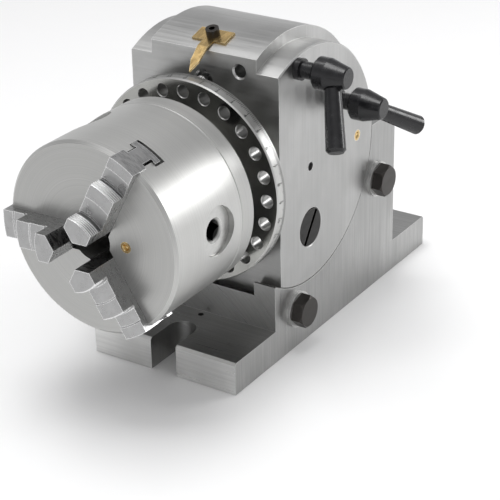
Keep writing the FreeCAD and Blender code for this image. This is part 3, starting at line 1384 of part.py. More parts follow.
def build():
    index = (index_lever_y, index_lever_z)
    lock = (lock_lever_y, lock_lever_z)
    half_way = jaw_phase + 180.0 / jaw_count
    nodes = {
        "base": make_base(),
        "clamp_bolts": make_clamp_bolts(),
        "clamp_washers": make_clamp_washers(),
        "clamp_nuts": make_clamp_nuts(),
        "swivel_housing": make_swivel_housing(),
        "front_bush": make_front_bush(),
        "thrust_washer": make_thrust_washer(),
        "rear_bush": make_rear_bush(),
        "worm_end_plug": make_end_plug(),
        "sleeve_lock_screw": make_sleeve_lock_screw(),
        "centre_screw": make_centre_screw(),
        "housing_oiler": make_oiler(Vector(base_half, housing_oiler_y, centre_height), X_AXIS),
        "pointer": make_pointer(),
        "pointer_screw": make_pointer_screw(),
        "index_pin": make_index_pin(),
        "index_lever_shaft": make_index_shaft(),
        "index_lever_hub": make_lever_hub(*index, index_handle_angle),
        "index_lever_handle": make_handle(*index, index_handle_angle),
        "lock_lever_shaft": make_lock_shaft(),
        "lock_lever_hub": make_lever_hub(*lock, lock_handle_angle),
        "lock_lever_handle": make_handle(*lock, lock_handle_angle),
        "lock_shoe": make_lock_shoe(),
        "spindle": make_spindle(),
        "wheel_key": make_wheel_key(),
        "worm_wheel": make_worm_wheel(),
        "wheel_nut": make_wheel_nut(),
        "rear_nut": make_rear_nut(),
        "direct_index_plate": make_index_plate(),
        "index_plate_screws": make_index_plate_screws(),
        "chuck_backplate": make_backplate(),
        "chuck_screws": make_chuck_screws(),
        "chuck_body": make_chuck_body(),
        "chuck_oiler": make_oiler(chuck_oiler_top(), Vector(0, -1, 0)),
        "scroll_cover": make_scroll_cover(),
        "cover_screws": make_cover_screws(),
        "pinion_pins": make_pinion_pins(),
        "chuck_scroll": make_scroll(),
        "eccentric_sleeve": make_eccentric_sleeve(),
        "worm_bush": make_worm_bush(),
        "worm_shaft": make_worm_shaft(),
        "crank_key": make_crank_key(),
        "dividing_plate": make_dividing_plate(),
        "plate_screws": make_plate_screws(),
        "sector_arm_leading": make_sector_arm(0, sector_arm_angles[0], -1),
        "sector_arm_trailing": make_sector_arm(1, sector_arm_angles[1], 1),
        "sector_spring": make_sector_spring(),
        "crank_arm": make_crank_arm(),
        "crank_nut": make_crank_nut(),
        "plunger_housing": make_plunger_housing(),
        "plunger_nut": make_plunger_nut(),
        "index_plunger": make_plunger(),
        "plunger_knob": make_plunger_knob(),
    }
    for number in range(jaw_count):
        nodes["chuck_jaw_%d" % (number + 1)] = make_jaw(number)
        nodes["chuck_pinion_%d" % (number + 1)] = make_pinion(half_way + 360.0 * number / jaw_count)
    return nodes


def main():
    os.makedirs("parts", exist_ok=True)
    for name, shape in build().items():
        shape.exportStep("parts/%s.step" % name)
        print(name, "valid" if shape.isValid() else "INVALID", len(shape.Solids), round(shape.Volume, 1))


main()
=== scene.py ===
"""Looks of a tilting dividing head with its scroll chuck, dressed around the fixed frame."""

import bmesh
import bpy
import math
from mathutils import Matrix, Vector


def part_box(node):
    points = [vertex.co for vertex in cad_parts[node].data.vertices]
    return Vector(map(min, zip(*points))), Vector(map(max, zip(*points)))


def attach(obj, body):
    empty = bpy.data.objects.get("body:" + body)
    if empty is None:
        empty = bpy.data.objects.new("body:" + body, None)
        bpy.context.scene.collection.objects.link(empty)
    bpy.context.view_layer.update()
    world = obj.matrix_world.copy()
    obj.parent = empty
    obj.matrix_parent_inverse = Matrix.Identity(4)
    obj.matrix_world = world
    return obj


bl_info = {
    "name": "Dividing head looks",
    "version": (1, 0, 0),
    "blender": (4, 5, 0),
    "location": "3D View > Sidebar > Dividing head",
    "description": "Finishes, engraved scales, screw threads and studio for a dividing head",
    "category": "Object",
}

MM = 0.001

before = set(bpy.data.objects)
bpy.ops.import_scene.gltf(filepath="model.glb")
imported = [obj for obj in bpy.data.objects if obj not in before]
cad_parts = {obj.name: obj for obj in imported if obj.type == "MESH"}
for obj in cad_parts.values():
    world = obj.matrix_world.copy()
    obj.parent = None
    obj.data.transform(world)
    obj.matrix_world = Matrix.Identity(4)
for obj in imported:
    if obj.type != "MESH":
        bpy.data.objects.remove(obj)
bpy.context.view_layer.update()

# Places read from the frame
plate_low, plate_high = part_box("direct_index_plate")
dividing_low, dividing_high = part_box("dividing_plate")
base_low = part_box("base")[0]
jaw_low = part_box("chuck_jaw_1")[0]
SPINDLE_HEIGHT = (plate_low.z + plate_high.z) / 2
WORM_HEIGHT = (dividing_low.z + dividing_high.z) / 2
PLATE_RADIUS = (plate_high.x - plate_low.x) / 2
PLATE_RIM_DEPTH = 2.0 * MM

# Behind this depth upright faces of the base are milled in arcs, about this point
FOOT_WALL = base_low.y + 20.0 * MM
MILL_CENTRE = (-60.0 * MM, 0.0, -55.0 * MM)

# The chuck's stepped jaws, with ridges on their outward walls, and the face of its pinions
JAW_PHASE = 28.0
JAW_SPACING = 120.0
JAW_STEP_RADII = (19.4 * MM, 37.0 * MM)
JAW_TOP = jaw_low.y
JAW_MIDDLE = jaw_low.y + 7.8 * MM
JAW_HALF_WIDTH = 7.1 * MM
GRIP_RIDGES = 5
GRIP_START = 0.75 * MM
GRIP_PITCH = 1.3 * MM
GRIP_HEIGHT = 0.40 * MM
GRIP_FOOT = 0.34 * MM
GRIP_CREST = 0.14 * MM
GRIP_ROOT = 0.05 * MM
PINION_FACE_RADIUS = 46.8 * MM
# Deeper than this below the pinions' face, their steel is darkened as painted shade in the sunk key
# sockets, fading across the two spans that follow, down to the share of colour after them
PINION_LIT_DEPTH = 0.8 * MM
SHADE_FADE_BELOW = 0.5 * MM
SHADE_FADE_ABOVE = 0.3 * MM
SUNK_SHADE_TONE = 0.05

# Engraved lines and figures: how far they stand proud, where they start, and the figures' font
MARK_THICKNESS = 0.02 * MM
FIGURE_LIFT = 0.03 * MM
SCALE_INSET = 0.15 * MM
FIGURE_FOOT = 1.0 * MM
FONT_SIZE_PER_HEIGHT = 1.35
FONT_WEIGHT = 0.02

# Radius in millimetres and number of holes of each circle of the dividing plate
HOLE_CIRCLES = ((48.0, 20), (44.0, 19), (40.0, 18), (36.0, 17), (32.0, 16), (28.0, 15))
COUNT_HEIGHT = 1.8 * MM
COUNT_FOOT = -0.9 * MM

# Threads on the clamp bolts
BOLT_CORNER = 16.0 / math.sqrt(3) * MM
BOLT_THREAD_RADIUS = 5.04 * MM
BOLT_THREAD_DEPTH = 0.35 * MM
BOLT_THREAD_PITCH = 1.0 * MM
BOLT_END_CHAMFER = 0.5 * MM
BOLT_THREAD_RUN_OUT = 0.6 * MM
THREAD_FLANK_SHARE = 0.42
THREAD_CREST_SHARE = 0.06

# A face counts as upright or flat where its normal's share along the axis is above these
UPRIGHT = 0.7
FLAT = 0.9

# The range in which most of a noise's values lie, and its middle
NOISE_SPREAD = (0.3, 0.7)
NOISE_MIDDLE = (0.35, 0.65)

# How strongly a sharp edge shows its wear and painted highlight, and how rough the index plate is
EDGE_GAIN = 9.0
PLATE_FACE_ROUGHNESS = 0.17
PLATE_HOLE_ROUGHNESS = 0.34
# Share of the steel colour on the index plate's hole walls: painted shade in the holes
PLATE_HOLE_SHADE = 0.62

# Colours of the finishes that stay the same
BRONZE = (0.62, 0.40, 0.20)
GEAR_STEEL = (0.38, 0.38, 0.39)
SMALL_STEEL = (0.55, 0.55, 0.545)
WASHER_STEEL = (0.58, 0.58, 0.57)
THREAD_STEEL = (0.20, 0.19, 0.185)
FASTENER_STEEL = (0.060, 0.056, 0.053)
PLUG_STEEL = (0.024, 0.023, 0.022)
PLATE_FACE = (0.34, 0.34, 0.325)
DIVIDING_PLATE_STEEL = (0.16, 0.16, 0.165)
RUBBED_STEEL = (0.35, 0.34, 0.33)
# Brass at the sharp edges: part wear, part painted highlight
BRASS_EDGE_WEAR_AND_HIGHLIGHT = (1.0, 0.86, 0.55)
PAINT = (0.012, 0.012, 0.012)
FADED_PAINT = (0.05, 0.05, 0.048)
KNOB_BLACK = (0.010, 0.010, 0.011)
KNOB_SHEEN = (0.020, 0.020, 0.021)

# Light, floor and surround: place, target, width and height of each lamp in metres
KEY_LAMP = ((-0.10, -0.10, 1.15), (0.0, -0.03, 0.10), 0.7, 0.5)
SIDE_LAMP = ((0.62, 0.74, 0.42), (0.0, 0.0, 0.12), 0.40, 0.34)
FLOOR_HALF = 3.0
FLOOR_DROP = 0.2 * MM
SURROUND_LEVELS = ((0.16, 1.0), (0.36, 0.72), (0.50, 0.62), (0.66, 0.45), (0.85, 0.85))
SURROUND_LOWEST = 0.90
SURROUND_START = -0.1
SURROUND_BLUE = 1.01

# The camera stands in front of the chuck, to the lever side and above
CAMERA_PLACE = Vector((0.45383, -0.67740, 0.44457))
CAMERA_RIGHT = Vector((0.83929, 0.54335, -0.01903))
CAMERA_UP = Vector((-0.22735, 0.38253, 0.89553))
CAMERA_LENS = 119.16
SENSOR_WIDTH = 36.0
CAMERA_NEAR = 0.01
CAMERA_FAR = 20.0


# Sizes and colours a user would change
class FinishSettings(bpy.types.PropertyGroup):
    iron: bpy.props.FloatVectorProperty(
        name="Ground iron", description="Colour of the ground housing and base", subtype="COLOR",
        size=3, default=(0.44, 0.44, 0.435))
    steel: bpy.props.FloatVectorProperty(
        name="Chuck steel", description="Colour of the fine ground chuck", subtype="COLOR",
        size=3, default=(0.55, 0.55, 0.538))
    jaw_steel: bpy.props.FloatVectorProperty(
        name="Jaw steel", description="Colour of the hardened jaws", subtype="COLOR",
        size=3, default=(0.40, 0.40, 0.40))
    black: bpy.props.FloatVectorProperty(
        name="Black oxide", description="Colour of the blackened levers and screws", subtype="COLOR",
        size=3, default=(0.007, 0.007, 0.008))
    brass: bpy.props.FloatVectorProperty(
        name="Brass", description="Colour of the pointer and oilers", subtype="COLOR",
        size=3, default=(0.62, 0.44, 0.20))
    # Reach of the bright edges, which are part wear and part painted highlight on the chamfers
    worn_edge: bpy.props.FloatProperty(
        name="Edge radius", description="How far bright wear reaches in from a sharp edge",
        default=0.45 * MM, min=0.0, unit="LENGTH")


class ScaleSettings(bpy.types.PropertyGroup):
    line_width: bpy.props.FloatProperty(
        name="Line width", description="Width of one degree line", default=0.45 * MM, min=0.0,
        unit="LENGTH")
    short_line: bpy.props.FloatProperty(
        name="Degree line", description="Length of a one degree line", default=2.3 * MM, min=0.0,
        unit="LENGTH")
    middle_line: bpy.props.FloatProperty(
        name="Five degree line", description="Length of a five degree line", default=3.0 * MM, min=0.0,
        unit="LENGTH")
    long_line: bpy.props.FloatProperty(
        name="Ten degree line", description="Length of a ten degree line", default=3.7 * MM, min=0.0,
        unit="LENGTH")
    figure_height: bpy.props.FloatProperty(
        name="Figure height", description="Height of the stamped figures", default=2.4 * MM, min=0.0,
        unit="LENGTH")


class StudioSettings(bpy.types.PropertyGroup):
    floor: bpy.props.FloatVectorProperty(
        name="Floor", description="Colour of the pale floor", subtype="COLOR", size=3,
        default=(0.93, 0.93, 0.93))
    key_power: bpy.props.FloatProperty(
        name="Key light", description="Power of the large overhead light", default=7.0, min=0.0,
        unit="POWER")
    side_power: bpy.props.FloatProperty(
        name="Side light", description="Power of the low light behind the lever side", default=2.6, min=0.0,
        unit="POWER")
    sky: bpy.props.FloatProperty(
        name="Surround", description="Strength of the soft surround", default=0.85, min=0.0)


# Shader groups shared by several finishes
def start_group(name, inputs, outputs):
    """New shader group with the sockets listed, and its input and output nodes."""
    group = bpy.data.node_groups.new(name, "ShaderNodeTree")
    for label, kind, default in inputs:
        socket = group.interface.new_socket(name=label, in_out="INPUT", socket_type=kind)
        socket.default_value = default
    for label, kind in outputs:
        group.interface.new_socket(name=label, in_out="OUTPUT", socket_type=kind)
    entry = group.nodes.new("NodeGroupInput")
    leave = group.nodes.new("NodeGroupOutput")
    return group, entry, leave


def math_node(tree, operation, first, second=None, clamp=False):
    node = tree.nodes.new("ShaderNodeMath")
    node.operation = operation
    node.use_clamp = clamp
    for place, value in enumerate((first, second)):
        if value is None:
            continue
        if isinstance(value, bpy.types.NodeSocket):
            tree.links.new(value, node.inputs[place])
        else:
            node.inputs[place].default_value = value
    return node.outputs[0]


def range_node(tree, value, from_low, from_high, to_low, to_high):
    node = tree.nodes.new("ShaderNodeMapRange")
    for place, number in enumerate((from_low, from_high, to_low, to_high), start=1):
        if isinstance(number, bpy.types.NodeSocket):
            tree.links.new(number, node.inputs[place])
        else:
            node.inputs[place].default_value = number
    tree.links.new(value, node.inputs[0])
    return node.outputs[0]


def noise_node(tree, vector, scale, detail, stretch=(1.0, 1.0, 1.0)):
    mapping = tree.nodes.new("ShaderNodeMapping")
    mapping.inputs["Scale"].default_value = stretch
    tree.links.new(vector, mapping.inputs["Vector"])
    noise = tree.nodes.new("ShaderNodeTexNoise")
    noise.inputs["Scale"].default_value = scale
    noise.inputs["Detail"].default_value = detail
    tree.links.new(mapping.outputs[0], noise.inputs["Vector"])
    return noise.outputs["Fac"]


def mix_node(tree, factor, first, second):
    node = tree.nodes.new("ShaderNodeMix")
    node.data_type = "RGBA"
    for place, value in ((0, factor), (6, first), (7, second)):
        if isinstance(value, bpy.types.NodeSocket):
            tree.links.new(value, node.inputs[place])
        elif place == 0:
            node.inputs[place].default_value = value
        else:
            node.inputs[place].default_value = (*value[:3], 1.0)
    return node.outputs[2]


def multiply_colour(tree, colour, factor):
    node = tree.nodes.new("ShaderNodeVectorMath")
    node.operation = "SCALE"
    node.inputs["Scale"].default_value = factor
    tree.links.new(colour, node.inputs[0])
    return node.outputs[0]


def object_place(tree):
    return tree.nodes.new("ShaderNodeTexCoord")


def edge_wear_group():
    """Bright line along convex edges, part wear and part painted highlight on the chamfers, from the angle
    between the true and the rounded normal.
    """
    group, entry, leave = start_group(
        "Edge wear and highlight", [("Radius", "NodeSocketFloat", 0.45 * MM), ("Gain", "NodeSocketFloat", EDGE_GAIN)],
        [("Mask", "NodeSocketFloat")])
    bevel = group.nodes.new("ShaderNodeBevel")
    bevel.samples = 4
    group.links.new(entry.outputs["Radius"], bevel.inputs["Radius"])
    geometry = group.nodes.new("ShaderNodeNewGeometry")
    dot = group.nodes.new("ShaderNodeVectorMath")
    dot.operation = "DOT_PRODUCT"
    group.links.new(bevel.outputs[0], dot.inputs[0])
    group.links.new(geometry.outputs["Normal"], dot.inputs[1])
    turned = math_node(group, "SUBTRACT", 1.0, dot.outputs["Value"], clamp=True)
    surface_colour = math_node(group, "MULTIPLY", turned, entry.outputs["Gain"], clamp=True)
    group.links.new(surface_colour, leave.inputs["Mask"])
    return group


def ground_lines_group():
    """Fine lines left by grinding: upright on the side faces, level on all the others."""
    group, entry, leave = start_group(
        "Ground lines", [("Lines", "NodeSocketFloat", 1.0)],
        [("Lines", "NodeSocketFloat"), ("Clouds", "NodeSocketFloat")])
    place = object_place(group)
    upright = noise_node(group, place.outputs["Object"], scale=900.0, detail=4.0, stretch=(1.0, 1.0, 0.03))
    level = noise_node(group, place.outputs["Object"], scale=900.0, detail=4.0, stretch=(0.03, 1.0, 1.0))
    split = group.nodes.new("ShaderNodeSeparateXYZ")
    group.links.new(place.outputs["Normal"], split.inputs[0])
    sideways = math_node(group, "ABSOLUTE", split.outputs["X"])
    side_face = math_node(group, "GREATER_THAN", sideways, UPRIGHT)
    chosen = mix_node(group, side_face, level, upright)
    lines = math_node(group, "MULTIPLY", chosen, entry.outputs["Lines"])
    clouds = noise_node(group, place.outputs["Object"], scale=28.0, detail=5.0, stretch=(1.0, 1.0, 0.7))
    group.links.new(lines, leave.inputs["Lines"])
    group.links.new(clouds, leave.inputs["Clouds"])
    return group


def mill_arcs_group():
    """Wide arcs left by a face mill, seen as fine curved lines on flat faces."""
    group, entry, leave = start_group(
        "Mill arcs", [("Lines", "NodeSocketFloat", 1400.0)], [("Arcs", "NodeSocketFloat")])
    place = object_place(group)
    shifted = group.nodes.new("ShaderNodeVectorMath")
    shifted.operation = "SUBTRACT"
    shifted.inputs[1].default_value = MILL_CENTRE
    group.links.new(place.outputs["Object"], shifted.inputs[0])
    reach = group.nodes.new("ShaderNodeVectorMath")
    reach.operation = "LENGTH"
    group.links.new(shifted.outputs[0], reach.inputs[0])
    lines = group.nodes.new("ShaderNodeTexNoise")
    lines.noise_dimensions = "1D"
    lines.inputs["Detail"].default_value = 3.0
    group.links.new(reach.outputs["Value"], lines.inputs["W"])
    group.links.new(entry.outputs["Lines"], lines.inputs["Scale"])
    group.links.new(lines.outputs["Fac"], leave.inputs["Arcs"])
    return group


def turned_rings_group():
    """Rings left by turning about an axis along Y through the spindle."""
    group, entry, leave = start_group(
        "Turned rings", [("Rings", "NodeSocketFloat", 1200.0)],
        [("Rings", "NodeSocketFloat"), ("Broad", "NodeSocketFloat"), ("Radius", "NodeSocketFloat")])
    place = object_place(group)
    split = group.nodes.new("ShaderNodeSeparateXYZ")
    group.links.new(place.outputs["Object"], split.inputs[0])
    rise = math_node(group, "SUBTRACT", split.outputs["Z"], SPINDLE_HEIGHT)
    squares = math_node(group, "ADD", math_node(group, "MULTIPLY", split.outputs["X"], split.outputs["X"]),
                        math_node(group, "MULTIPLY", rise, rise))
    radius = math_node(group, "SQRT", squares)
    travel = math_node(group, "ADD", radius, split.outputs["Y"])
    fine = group.nodes.new("ShaderNodeTexNoise")
    fine.noise_dimensions = "1D"
    fine.inputs["Detail"].default_value = 3.0
    group.links.new(travel, fine.inputs["W"])
    group.links.new(entry.outputs["Rings"], fine.inputs["Scale"])
    broad = group.nodes.new("ShaderNodeTexNoise")
    broad.noise_dimensions = "1D"
    broad.inputs["Scale"].default_value = 160.0
    broad.inputs["Detail"].default_value = 2.0
    group.links.new(travel, broad.inputs["W"])
    group.links.new(fine.outputs["Fac"], leave.inputs["Rings"])
    group.links.new(broad.outputs["Fac"], leave.inputs["Broad"])
    group.links.new(radius, leave.inputs["Radius"])
    return group


GROUPS = {}


def shared(name, maker):
    if name not in GROUPS:
        GROUPS[name] = maker()
    return GROUPS[name]


def place_group(tree, name, maker, **values):
    node = tree.nodes.new("ShaderNodeGroup")
    node.node_tree = shared(name, maker)
    for label, value in values.items():
        node.inputs[label].default_value = value
    return node


def start_material(name, metallic=1.0, roughness=0.35, specular=0.5):
    """New material with its node tree and its Principled shader."""
    material = bpy.data.materials.new(name)
    material.use_nodes = True
    tree = material.node_tree
    shader = tree.nodes["Principled BSDF"]
    shader.inputs["Metallic"].default_value = metallic
    shader.inputs["Roughness"].default_value = roughness
    shader.inputs["Specular IOR Level"].default_value = specular
    return material, tree, shader


def add_bump(tree, shader, height, strength, distance):
    bump = tree.nodes.new("ShaderNodeBump")
    bump.inputs["Strength"].default_value = strength
    bump.inputs["Distance"].default_value = distance
    tree.links.new(height, bump.inputs["Height"])
    tree.links.new(bump.outputs["Normal"], shader.inputs["Normal"])


def shade_of(colour, factor):
    return tuple(min(1.0, part * factor) for part in colour)


# Finishes
def ground_iron(name, colour, edge_radius, lines=0.10, roughness=0.34):
    """Ground cast iron: fine lines, soft clouds of wear and bright edges that are part wear and part
    painted highlight.
    """
    material, tree, shader = start_material(name)
    marks = place_group(tree, "Ground lines", ground_lines_group)
    edges = place_group(tree, "Edge wear and highlight", edge_wear_group, Radius=edge_radius, Gain=EDGE_GAIN)
    cloudy = mix_node(tree, range_node(tree, marks.outputs["Clouds"], *NOISE_MIDDLE, 0.0, 1.0),
                      shade_of(colour, 0.88), shade_of(colour, 1.10))
    lined = mix_node(tree, range_node(tree, marks.outputs["Lines"], *NOISE_SPREAD, 0.0, 0.3), cloudy,
                     shade_of(colour, 0.86))
    surface_colour = mix_node(tree, edges.outputs["Mask"], lined, shade_of(colour, 1.9))
    tree.links.new(surface_colour, shader.inputs["Base Color"])
    rough = range_node(tree, marks.outputs["Lines"], *NOISE_SPREAD, roughness - 0.05, roughness + 0.09)
    tree.links.new(rough, shader.inputs["Roughness"])
    add_bump(tree, shader, marks.outputs["Lines"], strength=lines, distance=0.05 * MM)
    return material


def milled_iron(name, colour, edge_radius, roughness=0.33, foot_front_light=1.85):
    """Face-milled cast iron: curved cutter lines on the upright fronts, fine ground lines elsewhere, and
    the fronts of the feet lightened as painted reflection of the bright floor.
    """
    material, tree, shader = start_material(name)
    marks = place_group(tree, "Ground lines", ground_lines_group)
    arcs = place_group(tree, "Mill arcs", mill_arcs_group)
    edges = place_group(tree, "Edge wear and highlight", edge_wear_group, Radius=edge_radius, Gain=EDGE_GAIN)
    split = tree.nodes.new("ShaderNodeSeparateXYZ")
    tree.links.new(object_place(tree).outputs["Normal"], split.inputs[0])
    depth = tree.nodes.new("ShaderNodeSeparateXYZ")
    tree.links.new(object_place(tree).outputs["Object"], depth.inputs[0])
    upright = math_node(tree, "GREATER_THAN", math_node(tree, "ABSOLUTE", split.outputs["Y"]), UPRIGHT)
    inward = math_node(tree, "GREATER_THAN", depth.outputs["Y"], FOOT_WALL)
    wall = math_node(tree, "MULTIPLY", upright, inward)
    chosen = mix_node(tree, wall, marks.outputs["Lines"], arcs.outputs["Arcs"])
    cloudy = mix_node(tree, range_node(tree, marks.outputs["Clouds"], *NOISE_MIDDLE, 0.0, 1.0),
                      shade_of(colour, 0.88), shade_of(colour, 1.08))
    lined = mix_node(tree, range_node(tree, chosen, *NOISE_MIDDLE, 0.0, 0.42), cloudy,
                     shade_of(colour, 0.76))
    # Fronts of the feet are made 1.85 times as light: painted reflection of the bright floor
    foot_front = math_node(tree, "SUBTRACT", upright, wall)
    foot_lit = mix_node(tree, foot_front, lined, multiply_colour(tree, lined, foot_front_light))
    surface_colour = mix_node(tree, edges.outputs["Mask"], foot_lit, shade_of(colour, 1.7))
    tree.links.new(surface_colour, shader.inputs["Base Color"])
    tree.links.new(range_node(tree, chosen, *NOISE_SPREAD, roughness - 0.06, roughness + 0.10),
                   shader.inputs["Roughness"])
    add_bump(tree, shader, chosen, strength=0.08, distance=0.05 * MM)
    return material


def turned_steel(name, colour, edge_radius, rings=1200.0, roughness=0.30, strength=0.10, face_shade=1.0,
                 edge_tone=1.5):
    """Steel turned or ground about the spindle, with fine rings, flat faces darkened by a factor as painted
    shade, and bright edges that are part wear and part painted highlight.
    """
    material, tree, shader = start_material(name)
    marks = place_group(tree, "Turned rings", turned_rings_group, Rings=rings)
    edges = place_group(tree, "Edge wear and highlight", edge_wear_group, Radius=edge_radius, Gain=EDGE_GAIN)
    ringed = mix_node(tree, range_node(tree, marks.outputs["Rings"], *NOISE_SPREAD, 0.0, 1.0),
                      shade_of(colour, 0.92), shade_of(colour, 1.06))
    broad = mix_node(tree, range_node(tree, marks.outputs["Broad"], *NOISE_MIDDLE, 0.0, 0.35), ringed,
                     shade_of(colour, 0.90))
    split = tree.nodes.new("ShaderNodeSeparateXYZ")
    tree.links.new(object_place(tree).outputs["Normal"], split.inputs[0])
    flat = math_node(tree, "GREATER_THAN", math_node(tree, "ABSOLUTE", split.outputs["Y"]), FLAT)
    # Flat faces across the spindle have their colour scaled by the given factor: painted shade on the
    # chuck's front face
    toned = mix_node(tree, flat, broad, multiply_colour(tree, broad, face_shade))
    surface_colour = mix_node(tree, edges.outputs["Mask"], toned, shade_of(colour, edge_tone))
    tree.links.new(surface_colour, shader.inputs["Base Color"])
    rough = range_node(tree, marks.outputs["Rings"], *NOISE_SPREAD, roughness - 0.04, roughness + 0.06)
    tree.links.new(rough, shader.inputs["Roughness"])
    add_bump(tree, shader, marks.outputs["Rings"], strength=strength, distance=0.03 * MM)
    return material


def plain_steel(name, colour, edge_radius, roughness=0.32, grain=420.0, stretch=(1.0, 0.35, 1.0),
                edge_tone=1.6, dark_below=None):
    """Small turned, milled or cut steel pieces, darkened below a distance from the spindle as painted shade
    in sunk faces.
    """
    material, tree, shader = start_material(name)
    place = object_place(tree)
    grainy = noise_node(tree, place.outputs["Object"], scale=grain, detail=4.0, stretch=stretch)
    edges = place_group(tree, "Edge wear and highlight", edge_wear_group, Radius=edge_radius, Gain=EDGE_GAIN)
    toned = mix_node(tree, range_node(tree, grainy, *NOISE_SPREAD, 0.0, 1.0), shade_of(colour, 0.90),
                     shade_of(colour, 1.06))
    surface_colour = mix_node(tree, edges.outputs["Mask"], toned, shade_of(colour, edge_tone))
    # Painted shade: faces nearer the spindle than the given radius are darkened
    if dark_below is not None:
        rings = place_group(tree, "Turned rings", turned_rings_group)
        shallow = range_node(tree, rings.outputs["Radius"], dark_below - SHADE_FADE_BELOW,
                             dark_below + SHADE_FADE_ABOVE, 0.0, 1.0)
        surface_colour = mix_node(tree, shallow, shade_of(colour, SUNK_SHADE_TONE), surface_colour)
    tree.links.new(surface_colour, shader.inputs["Base Color"])
    tree.links.new(range_node(tree, grainy, *NOISE_SPREAD, roughness - 0.06, roughness + 0.08),
                   shader.inputs["Roughness"])
    add_bump(tree, shader, grainy, strength=0.06, distance=0.05 * MM)
    return material


def black_oxide(name, colour, edge_radius, roughness=0.26):
    """Oil-blackened steel: glossy black, rubbed to bare steel at its edges."""
    material, tree, shader = start_material(name, metallic=0.0, roughness=roughness, specular=0.45)
    place = object_place(tree)
    blotch = noise_node(tree, place.outputs["Object"], scale=260.0, detail=5.0)
    edges = place_group(tree, "Edge wear and highlight", edge_wear_group, Radius=edge_radius * 0.6, Gain=3.0)
    toned = mix_node(tree, range_node(tree, blotch, 0.35, 0.7, 0.0, 1.0), colour, shade_of(colour, 1.7))
    rubbed = math_node(tree, "MULTIPLY", edges.outputs["Mask"],
                       range_node(tree, blotch, 0.4, 0.6, 0.0, 0.35))
    surface_colour = mix_node(tree, rubbed, toned, RUBBED_STEEL)
    tree.links.new(surface_colour, shader.inputs["Base Color"])
    tree.links.new(rubbed, shader.inputs["Metallic"])
    tree.links.new(range_node(tree, blotch, *NOISE_SPREAD, roughness - 0.06, roughness + 0.12),
                   shader.inputs["Roughness"])
    add_bump(tree, shader, blotch, strength=0.10, distance=0.06 * MM)
    return material


def brass_finish(name, colour, edge_radius, roughness=0.24):
    """Machined brass or bronze, softly streaked, with bright edges that are part wear and part painted
    highlight.
    """
    material, tree, shader = start_material(name)
    place = object_place(tree)
    rubbed = noise_node(tree, place.outputs["Object"], scale=500.0, detail=4.0, stretch=(1.0, 0.2, 1.0))
    edges = place_group(tree, "Edge wear and highlight", edge_wear_group, Radius=edge_radius, Gain=6.0)
    toned = mix_node(tree, range_node(tree, rubbed, *NOISE_SPREAD, 0.0, 1.0), shade_of(colour, 0.82),
                     shade_of(colour, 1.06))
    surface_colour = mix_node(tree, edges.outputs["Mask"], toned, BRASS_EDGE_WEAR_AND_HIGHLIGHT)
    tree.links.new(surface_colour, shader.inputs["Base Color"])
    tree.links.new(range_node(tree, rubbed, *NOISE_SPREAD, roughness - 0.05, roughness + 0.10),
                   shader.inputs["Roughness"])
    add_bump(tree, shader, rubbed, strength=0.08, distance=0.05 * MM)
    return material


def index_plate_finish(name, steel, dark, edge_radius):
    """Light rim, holes darkened as painted shade, and a darker, finely turned face."""
    material, tree, shader = start_material(name)
    marks = place_group(tree, "Turned rings", turned_rings_group, Rings=1500.0)
    edges = place_group(tree, "Edge wear and highlight", edge_wear_group, Radius=edge_radius, Gain=8.0)
    place = object_place(tree)
    split = tree.nodes.new("ShaderNodeSeparateXYZ")
    tree.links.new(place.outputs["Normal"], split.inputs[0])
    flat = math_node(tree, "GREATER_THAN", math_node(tree, "ABSOLUTE", split.outputs["Y"]), FLAT)
    clouds = noise_node(tree, place.outputs["Object"], scale=45.0, detail=4.0)
    dark_face = mix_node(tree, range_node(tree, clouds, *NOISE_MIDDLE, 0.0, 1.0), dark, shade_of(dark, 1.3))
    light = mix_node(tree, range_node(tree, marks.outputs["Rings"], *NOISE_SPREAD, 0.0, 1.0),
                     shade_of(steel, 0.9), shade_of(steel, 1.05))
    on_rim = math_node(tree, "GREATER_THAN", marks.outputs["Radius"], PLATE_RADIUS - PLATE_RIM_DEPTH)
    # Round faces below the rim keep only a share of the colour: painted shade in the holes
    round_faces = mix_node(tree, on_rim, shade_of(steel, PLATE_HOLE_SHADE), light)
    chosen = mix_node(tree, flat, round_faces, dark_face)
    surface_colour = mix_node(tree, edges.outputs["Mask"], chosen, shade_of(steel, 1.3))
    tree.links.new(surface_colour, shader.inputs["Base Color"])
    satin = mix_node(tree, flat, (PLATE_HOLE_ROUGHNESS,) * 3, (PLATE_FACE_ROUGHNESS,) * 3)
    tree.links.new(satin, shader.inputs["Roughness"])
    add_bump(tree, shader, marks.outputs["Rings"], strength=0.12, distance=0.03 * MM)
    return material


def filled_mark(name):
    """Paint left in the engraved lines and figures."""
    material, tree, shader = start_material(name, metallic=0.0, roughness=0.6)
    place = object_place(tree)
    speck = noise_node(tree, place.outputs["Object"], scale=900.0, detail=3.0)
    tree.links.new(mix_node(tree, speck, PAINT, FADED_PAINT), shader.inputs["Base Color"])
    return material


def moulded_black(name):
    """Glossy moulded knob with a faint orange-peel surface."""
    material, tree, shader = start_material(name, metallic=0.0, roughness=0.16)
    place = object_place(tree)
    peel = noise_node(tree, place.outputs["Object"], scale=700.0, detail=2.0)
    tree.links.new(mix_node(tree, peel, KNOB_BLACK, KNOB_SHEEN), shader.inputs["Base Color"])
    shader.inputs["Coat Weight"].default_value = 0.6
    shader.inputs["Coat Roughness"].default_value = 0.08
    add_bump(tree, shader, peel, strength=0.08, distance=0.05 * MM)
    return material


# Work on the frame's own pieces
def dress(material, nodes):
    """Gives the finish to every slot of the CAD pieces named."""
    for node in nodes:
        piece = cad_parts[node]
        for place in range(len(piece.material_slots)):
            piece.material_slots[place].material = material
        if not piece.material_slots:
            piece.data.materials.append(material)


